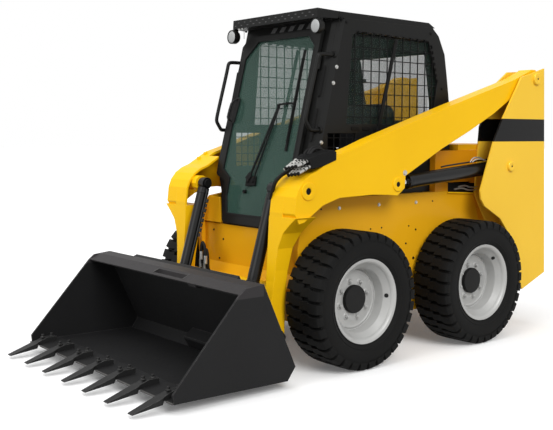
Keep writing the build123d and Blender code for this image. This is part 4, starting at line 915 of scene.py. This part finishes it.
def pillow(name, centre, half, lean):
    """Cushion whose faces crown and whose sides pull in between its corners."""
    piece = Piece(name)
    rows, steps = 48, 96
    thin = min(range(3), key=lambda axis: half[axis])
    long, wide = (axis for axis in range(3) if axis != thin)
    rings = []
    for row in range(1, rows):
        rise = math.pi * (row / rows - 0.5)
        # welt round the middle
        welt = 1 + 0.012 * math.exp(-(rise / 0.05) ** 2)
        ring = []
        for turn in turns(steps):
            pull = 1 - 0.035 * math.cos(2 * turn) ** 2 * math.cos(rise)
            reach = signed_power(math.cos(rise), 0.4) * pull
            along = reach * signed_power(math.cos(turn), 0.42)
            across = reach * signed_power(math.sin(turn), 0.42)
            height = signed_power(math.sin(rise), 0.62)
            # sewn channels across the face
            for channel in (-0.42, 0.42):
                gap = (across - channel) / 0.035
                height -= math.copysign(0.1, height) * math.exp(-gap * gap) * min(1, abs(height) * 2)
            spot = [0.0, 0.0, 0.0]
            spot[long] = half[long] * along * welt
            spot[wide] = half[wide] * across * welt
            spot[thin] = half[thin] * height
            x, y, z = spot
            ring.append((
                centre[0] + x * math.cos(lean) + z * math.sin(lean), centre[1] + y,
                centre[2] - x * math.sin(lean) + z * math.cos(lean),
            ))
        rings.append(ring)
    piece.skin(rings)
    return piece.done("chassis", VINYL, "seat_vinyl")


cab_trim()
roof_front()
lamps()
grab_rails()
door_fittings()
padding()


# ------------------------------------------------------------ hydraulic cylinders
EYE_HALF = 25.0
# foot, eye, distance out from the middle, radii of tube and rod, length of the tube, starts of bore and rod
CYLINDERS = {
    "lift": ((-885, 1076), (132, 993), 566, 42, 24, 900, 170, 190),
    "tilt": ((812, 979), (1005, 320), 335, 35, 20, 550, 60, 150),
}
LIFT_FOOT, LIFT_EYE, LIFT_Y = CYLINDERS["lift"][:3]
TILT_FOOT, TILT_EYE, TILT_Y = CYLINDERS["tilt"][:3]
TILT_RUN = Vector((TILT_EYE[0] - TILT_FOOT[0], 0, TILT_EYE[1] - TILT_FOOT[1])).normalized()
HOSE_RADIUS = 8.5
# how far inward of the tilt cylinder each feed pipe lies, and where along it the pipe ends
TILT_FEEDS = [(45, 520), (-43, 120)]
# (x, z) route of the pipe along the lift cylinder
HARD_LINE = [(-300, 1080), (-310, 1085), (-560, 1105), (-700, 1117), (-760, 1120), (-790, 1112)]


def eye(piece, centre, middle_y, radius, bore):
    """Ring of a cylinder's end round its pin."""
    low, high = middle_y - EYE_HALF, middle_y + EYE_HALF
    rim = [(low, radius - 2), (low + 2, radius), (high - 2, radius), (high, radius - 2)]
    piece.lathe([(low, bore), *rim, (high, bore)], centre, 48)


def barrel_profile(tube_radius, rod_radius, length, bore):
    """Section from the foot, over a weld ring and the grooved gland, and back down the bore."""
    lip = tube_radius + 3
    return [
        (tube_radius - 10, tube_radius - 8), (tube_radius - 4, tube_radius), (54, tube_radius),
        (56, tube_radius + 1.5), (64, tube_radius + 1.5), (66, tube_radius), (length - 34, tube_radius),
        (length - 34, lip - 1), (length - 33, lip), (length - 14, lip), (length - 13, lip - 1.5),
        (length - 10, lip - 1.5), (length - 9, lip), (length - 1, lip), (length, lip - 1),
        (length, rod_radius + 4), (length + 4, rod_radius + 3), (length + 4, rod_radius + 0.7),
        (bore + 10, rod_radius + 0.7),
    ]


def cylinder(kind, name, side):
    """Barrel and rod of one hydraulic cylinder."""
    foot, end, out, tube_radius, rod_radius, length, bore, rod_start = CYLINDERS[kind]
    start, stop = (foot[0], side * out, foot[1]), (end[0], side * out, end[1])
    full = (Vector(stop) - Vector(start)).length
    barrel_body, rod_body = f"{kind}_barrel_{name}", f"{kind}_rod_{name}"
    barrel = Piece(f"{kind}_cylinder_{name}")
    eye(barrel, foot, side * out, tube_radius, 20.8)
    barrel.turn_bar(start, stop, barrel_profile(tube_radius, rod_radius, length, bore))
    barrel.done(barrel_body, GLOSS, "barrel_black", replaces=(barrel_body,))
    rod = Piece(f"{kind}_piston_rod_{name}")
    rod.turn_bar(start, stop, [
        (rod_start, rod_radius - 0.2), (full - 46, rod_radius - 0.2), (full - 44, rod_radius + 4),
        (full - 30, rod_radius + 6), (full - 14, rod_radius + 2),
    ])
    eye(rod, end, side * out, rod_radius + 12, 9)
    rod.done(rod_body, CHROME, "rod_chrome", replaces=(rod_body,))


def along_tilt(y, distance):
    """Place beside the tilt cylinder's line, so far from its foot."""
    return Vector((TILT_FOOT[0], y, TILT_FOOT[1])) + TILT_RUN * distance


def feed_pipes(name, side):
    """Pipes along the cylinders of one side, with the ends of the tilt pipes bent in."""
    for index, (inward, reach) in enumerate(TILT_FEEDS):
        bent, straight = side * (TILT_Y - inward * 0.75), side * (TILT_Y - inward)
        points = [along_tilt(bent, 40), *(along_tilt(straight, step) for step in (52, 60, reach - 20, reach))]
        points.append(along_tilt(bent, reach + 12))
        tube(f"tilt_feed_{name}_{index}", points, 8, f"tilt_barrel_{name}", GLOSS)
    body = f"lift_barrel_{name}"
    line = [(x, side * LIFT_Y, z) for x, z in HARD_LINE]
    tube(f"lift_hard_line_{name}", line, 5, body, GLOSS)
    for index, (y, top) in enumerate(((580, 1132), (596, 1122))):
        loop = [(-690, 1114), (-664, top), (-620, top + 4), (-580, top), (-556, 1106)]
        tube(f"lift_feed_{name}_{index}", [(x, side * y, z) for x, z in loop], 3.5, body, ZINC)


def hydraulics():
    """The four cylinders, and the pipes along them."""
    for kind in CYLINDERS:
        for name, side in SIDES.items():
            cylinder(kind, name, side)
    for name, side in SIDES.items():
        feed_pipes(name, side)


hydraulics()


# ------------------------------------------------------------ arms, towers and body
ARM_PIVOT = (-1140, 1640)
ARM_SIDE = 616.0
BODY_SIDE = 480.0


def boss_ring(piece, centre, near, far, outer, inner):
    """Chamfered ring standing on a plate between two Y values."""
    out = 1 if far > near else -1
    piece.lathe([
        (near, inner), (near, outer), (far - out * 2, outer), (far, outer - 2), (far, inner + 1.5),
        (far - out * 1.5, inner),
    ], centre, 64)


def side_rod(piece, centre, side, near, far, radius, sides):
    """Cylinder along Y at an (x, z) centre, from near to far out on one side."""
    x, z = centre
    piece.rod((x, side * near, z), (x, side * far, z), radius, sides)


def arm_fittings():
    """Boss rings, dark discs of painted shade in the pin holes and a bolt on each arm, and the cap over the
    tilt pin inside the knee.
    """
    rings, heads, dark = Piece("arm_boss_rings"), Piece("arm_bolts"), Piece("arm_pin_shade_discs_and_caps")
    for side in BOTH_SIDES:
        boss_ring(rings, TILT_FOOT, side * 614, side * 623.5, 48, 22)
        boss_ring(rings, LIFT_EYE, side * 614, side * 622.5, 41, 15)
        # dark discs at the bottom of the boss rings: painted shade where the pin holes go deep
        side_rod(dark, TILT_FOOT, side, 612, 617.5, 22, 40)
        side_rod(dark, LIFT_EYE, side, 612, 620, 14.5, 40)
        heads.bolt((74, side * ARM_SIDE, 1057), (0, side, 0), 13, 6)
        side_rod(dark, TILT_FOOT, side, 311, 296, 25, 40)
    rings.done("lift_arm", LIT_YELLOW, "body_yellow")
    heads.done("lift_arm", ZINC, "rod_chrome", 0.6)
    dark.done("lift_arm", MATT, "cab_black", 0.6)


def tower_fittings():
    """Rings and bolts at the towers' two pins."""
    caps, bolts = Piece("tower_boss_rings"), Piece("tower_pin_bolts")
    for side in BOTH_SIDES:
        for centre, radius in ((ARM_PIVOT, 38), (LIFT_FOOT, 32)):
            near, far = side * 639, side * 655.5
            caps.lathe([
                (near, 10), (near, radius), (far - side * 3, radius), (far, radius - 3), (far, 14),
                (far - side * 4, 12),
            ], centre, 64)
            side_rod(bolts, centre, side, 648, 653, 12, 32)
            side_rod(bolts, centre, side, 652, 656, 6, 6)
    caps.done("chassis", SHEEN_TOWER_YELLOW, "body_yellow")
    bolts.done("chassis", MATT, "cab_black", 0.5)


# (x, z) of the side panels' bright bolts, all of one size
PANEL_BOLTS = [(461, 864), (145, 868), (-174, 867)]
# (x, z) of the panels' dark screws, and the size of each
PANEL_SCREWS = [
    (598, 865, 5), (-325, 868, 5), (211, 730, 5), (120, 732, 5), (-113, 728, 5), (-175, 702, 6),
    (-90, 623, 6), (-158, 529, 9),
]
# (y, z) of the screws in the front panel
FRONT_SCREWS = [(-290, 520), (290, 520), (-250, 640), (-330, 470), (330, 470), (-350, 690)]


def panel_fittings():
    """Bolts and screws of the side panels and the front panel."""
    bright, dark = Piece("panel_bolts"), Piece("panel_screws")
    for side in BOTH_SIDES:
        for x, z in PANEL_BOLTS:
            bright.bolt((x, side * BODY_SIDE, z), (0, side, 0), 8.8, 4.95)
        for x, z, size in PANEL_SCREWS:
            dark.bolt((x, side * BODY_SIDE, z), (0, side, 0), size * 0.8, size * 0.45)
    for y, z in FRONT_SCREWS:
        dark.bolt((735, y, z), (1, 0, 0), 5, 3)
    bright.done("chassis", ZINC, "rod_chrome", 0.5)
    dark.done("chassis", MATT, "cab_black", 0.4)


# (x, z) start and end of each hose in the service slot
SLOT_HOSES = [((-520, 934), (-740, 926)), ((-560, 948), (-745, 944))]


def painted_shade_service_slots():
    """Slots in the body's sides, drawn as thin dark sheets of painted shade on the panel, with a lip in the
    lit yellow and the hoses in them.
    """
    slot, lip = Piece("painted_shade_service_slots"), Piece("service_slot_lips")
    for name, side in SIDES.items():
        # thin dark sheet just off the panel: painted shade where the slot opens into the body
        slot.prism([(-467, 978), (-745, 966), (-745, 902), (-468, 918)], *span(side, 480.2, 481.4))
        lip.prism([(-462, 920), (-745, 904), (-745, 896), (-462, 911)], *span(side, 480.5, 490))
        for index, ((x0, z0), (x1, z1)) in enumerate(SLOT_HOSES):
            line = [(x0, z0), ((x0 * 2 + x1) / 3, z0 + 10), ((x0 + x1 * 2) / 3, z1 - 8), (x1, z1)]
            points = [(x, side * 488, z) for x, z in line]
            tube(f"slot_hose_{name}_{index}", points, 5, "chassis", ZINC)
    slot.done("chassis", MATT, "cab_black")
    lip.done("chassis", LIT_YELLOW, "body_yellow", 0.5)


# parts of a coupler in a line: near and far end, radius, sides
COUPLER = [
    (0, 20, 9, 6), (20, 26, 11.5, 28), (26, 50, 8, 28), (50, 55, 11, 28), (55, 78, 9.5, 6), (78, 84, 7, 28),
    (84, 100, 9, 28),
]
COUPLER_TIP = (100, 118, 6, 6)
FRONT_COUPLER = [(-4, 14, 9.5, 6), (20, 38, 8, 28), (38, 43, 11, 28), (50, 70, 9.5, 6), (70, 88, 7, 28)]
COUPLER_SLEEVES = [(14, 20, 11, 28), (43, 50, 9, 28), (88, 96, 10, 28)]
KNEE_HOSES = {
    "a": [(790, 468, 1090), (850, 462, 1068), (886, 446, 1034), (892, 424, 990), (876, 398, 950)],
    "b": [(786, 492, 1094), (856, 486, 1080), (896, 462, 1046), (910, 436, 992), (894, 402, 930)],
    "c": [(716, 470, 1166), (690, 462, 1190), (650, 452, 1196), (600, 450, 1180), (560, 452, 1120)],
    "d": [(716, 500, 1168), (692, 498, 1200), (650, 496, 1212), (596, 490, 1192), (560, 486, 1150)],
    "e": [(716, 520, 1168), (698, 522, 1194), (664, 524, 1204), (620, 520, 1188)],
}


def knee_cover():
    """Black cover on the left knee, and the block that the couplers stand in."""
    cover = Piece("coupler_cover")
    cover.prism([(644, 1195), (615, 1186), (615, 1140), (700, 1112), (789, 1094), (815, 1149)], 519, 621)
    cover.done("lift_arm", MATT, "cab_black", 4.0, 3, replaces=("arm_hoses",))
    block = Piece("coupler_block")
    block.prism([(700, 1164), (716, 1172), (752, 1150), (736, 1112), (704, 1124)], 444, 532)
    block.done("lift_arm", MATT, "cab_black", 2.0)


def couplers():
    """Two rows of couplers beside the cover, and two more in front of it."""
    bank, front, sleeves = Piece("coupler_bank"), Piece("coupler_front"), Piece("coupler_sleeves")
    for row, (x, z) in enumerate(((738, 1146), (730, 1119))):
        for index in range(4):
            start = Vector((x, 450 + index * 25 + row * 9, z - index * 2))
            along = Vector((0.87, 0, -0.49 + index * 0.05 - row * 0.04)).normalized()
            bank.stack(start, along, COUPLER if row else [*COUPLER, COUPLER_TIP])
    for row, (x, z) in enumerate(((806, 1138), (796, 1110))):
        for index in range(4):
            start = Vector((x, 532 + index * 24 + row * 5, z))
            along = Vector((0.87, (index - 1.5) * 0.05, -0.42 + index * 0.05 - row * 0.1)).normalized()
            front.stack(start, along, FRONT_COUPLER)
            sleeves.stack(start, along, COUPLER_SLEEVES)
    bank.done("lift_arm", ZINC, "rod_chrome", 0.6, replaces=("hose_couplers",))
    front.done("lift_arm", ZINC, "rod_chrome", 0.5)
    sleeves.done("lift_arm", MATT, "cab_black", 0.5)


def knee_hoses():
    """Hoses over the left knee, and the clips on the right one."""
    for letter, points in KNEE_HOSES.items():
        tube(f"knee_hose_{letter}", points, HOSE_RADIUS, "lift_arm", HOSE)
    clips = Piece("knee_clips")
    for x in (640, 690):
        z = 1163 - (x - 612) * 77 / 130
        clips.block((x - 9, -590, z - 4), (x + 9, -566, z + 14))
    clips.done("lift_arm", LIT_YELLOW, "body_yellow", 3.0, 3)


# Y of each looped hose at its first end, top and last end, height of the top and of the first end
TILT_HOSES = [(-196, -218, -240, 640, 520), (-224, -244, -266, 642, 470), (-208, -230, -254, 600, 440)]


def tilt_hoses():
    """Looped hoses with crimped ends beside the right tilt cylinder, and the clips along its pipe."""
    ends = Piece("hose_ends")
    for index, (first, top, last, height, low) in enumerate(TILT_HOSES):
        x = 905 - index * 14
        points = [
            (x - 30, first, low - 60), (x, first, low), (x, first - 2, height - 40), (x, top, height),
            (x, last + 2, height - 40), (x, last, low + 20), (x - 20, last, low - 40),
        ]
        tube(f"tilt_hose_{index}", points, HOSE_RADIUS, "lift_arm", HOSE)
        for y, z in ((first, low + 4), (last, low + 26)):
            ends.rod((x, y, z), (x, y, z + 34), 10.5, 24)
            ends.rod((x, y, z - 14), (x, y, z), 11.5, 6)
    ends.done("lift_arm", ZINC, "rod_chrome", 0.5)
    clips = Piece("tilt_line_clips")
    for index in range(8):
        radius, sides = (6, 20) if index % 2 else (9.5, 6)
        spot = along_tilt(-269, 96 + index * 30)
        clips.rod(spot, spot + TILT_RUN * 22, radius, sides)
    clips.done("tilt_barrel_right", IRON, "rod_chrome", 0.5)


arm_fittings()
tower_fittings()
panel_fittings()
painted_shade_service_slots()
knee_cover()
couplers()
knee_hoses()
tilt_hoses()


# ------------------------------------------------------------ bucket
TEETH = 7
TOOTH_OUT = 678.5
TOOTH_STEP = 2 * TOOTH_OUT / (TEETH - 1)
# half of the gap that a tooth leaves in the cutting edge's face
TOOTH_GAP = 40
# Y of the face's two end pieces
EDGE_ENDS = [(-769, -720), (720, 769)]


def edge_face(piece, low, high):
    """Stretch of the cutting edge's front face between two Y values."""
    piece.block((1749, low, 55.5), (1755.5, high, 62.8))


def tooth_fittings():
    """Bolts through each tooth's shank, and the cutting edge's face between the teeth."""
    bolts, edge = Piece("tooth_bolts"), Piece("cutting_edge_face")
    for index in range(TEETH):
        y = index * TOOTH_STEP - TOOTH_OUT
        for x in (1662, 1716):
            bolts.rod((x, y, 96), (x, y, 102), 15, 6)
            bolts.rod((x, y, 101), (x, y, 116), 8, 20)
            bolts.rod((x, y, 66), (x, y, 56), 12, 6)
        if index < TEETH - 1:
            edge_face(edge, y + TOOTH_GAP, y + TOOTH_STEP - TOOTH_GAP)
    for low, high in EDGE_ENDS:
        edge_face(edge, low, high)
    bolts.done("bucket", TOOTH, "bucket_charcoal", 1.0)
    edge.done("bucket", EDGE, "bucket_charcoal")


def step_frame():
    """Raised side strips of the step in the bucket's top lip."""
    strips = Piece("step_frame")
    rear, front = ((x, 545 - (x - 1299) * 0.42) for x in (1310, 1356))
    outline = [rear, front, (front[0], front[1] + 3), (rear[0], rear[1] + 3)]
    for low in (-49, 243):
        strips.prism(outline, low, low + 4)
    strips.done("bucket", EDGE, "bucket_charcoal")


tooth_fittings()
step_frame()


# ------------------------------------------------------------ finishes of the frame's own nodes
FINISHES = {
    "arm_left": LIT_YELLOW, "arm_right": LIT_YELLOW, "arm_cross_tube": LIT_YELLOW,
    "tower_left": SHEEN_TOWER_YELLOW, "tower_right": SHEEN_TOWER_YELLOW,
    "main_frame": SHADED_YELLOW, "side_panel_left": SHADED_YELLOW, "side_panel_right": SHADED_YELLOW, "engine_housing": SHADED_HOUSING_YELLOW,
    "engine_hood": SHADED_YELLOW, "rear_door": CAB, "rear_beam": CAB, "cab_glass": SIDE_GLASS, "door_glass": GLASS,
    "bucket_shell": BUCKET, "bucket_teeth": TOOTH, "quick_attach": BUCKET, "seat": VINYL,
    "operator_controls": PLASTIC, "engine_block": IRON, "axle_tubes": IRON, "tail_lamps": RED_LAMP,
    "window_screens": MATT,
}


def finish_of(name):
    """Finish of a node of the frame: its own, or that of its kind."""
    if name in FINISHES:
        return FINISHES[name]
    if name.startswith(("cab_", "door_", "grab", "wiper")):
        return CAB
    if "barrel" in name:
        return GLOSS
    return CHROME if "_rod_" in name else None


for node_name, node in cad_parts.items():
    finish = finish_of(node_name)
    if finish:
        node.data.materials.clear()
        node.data.materials.append(finish)
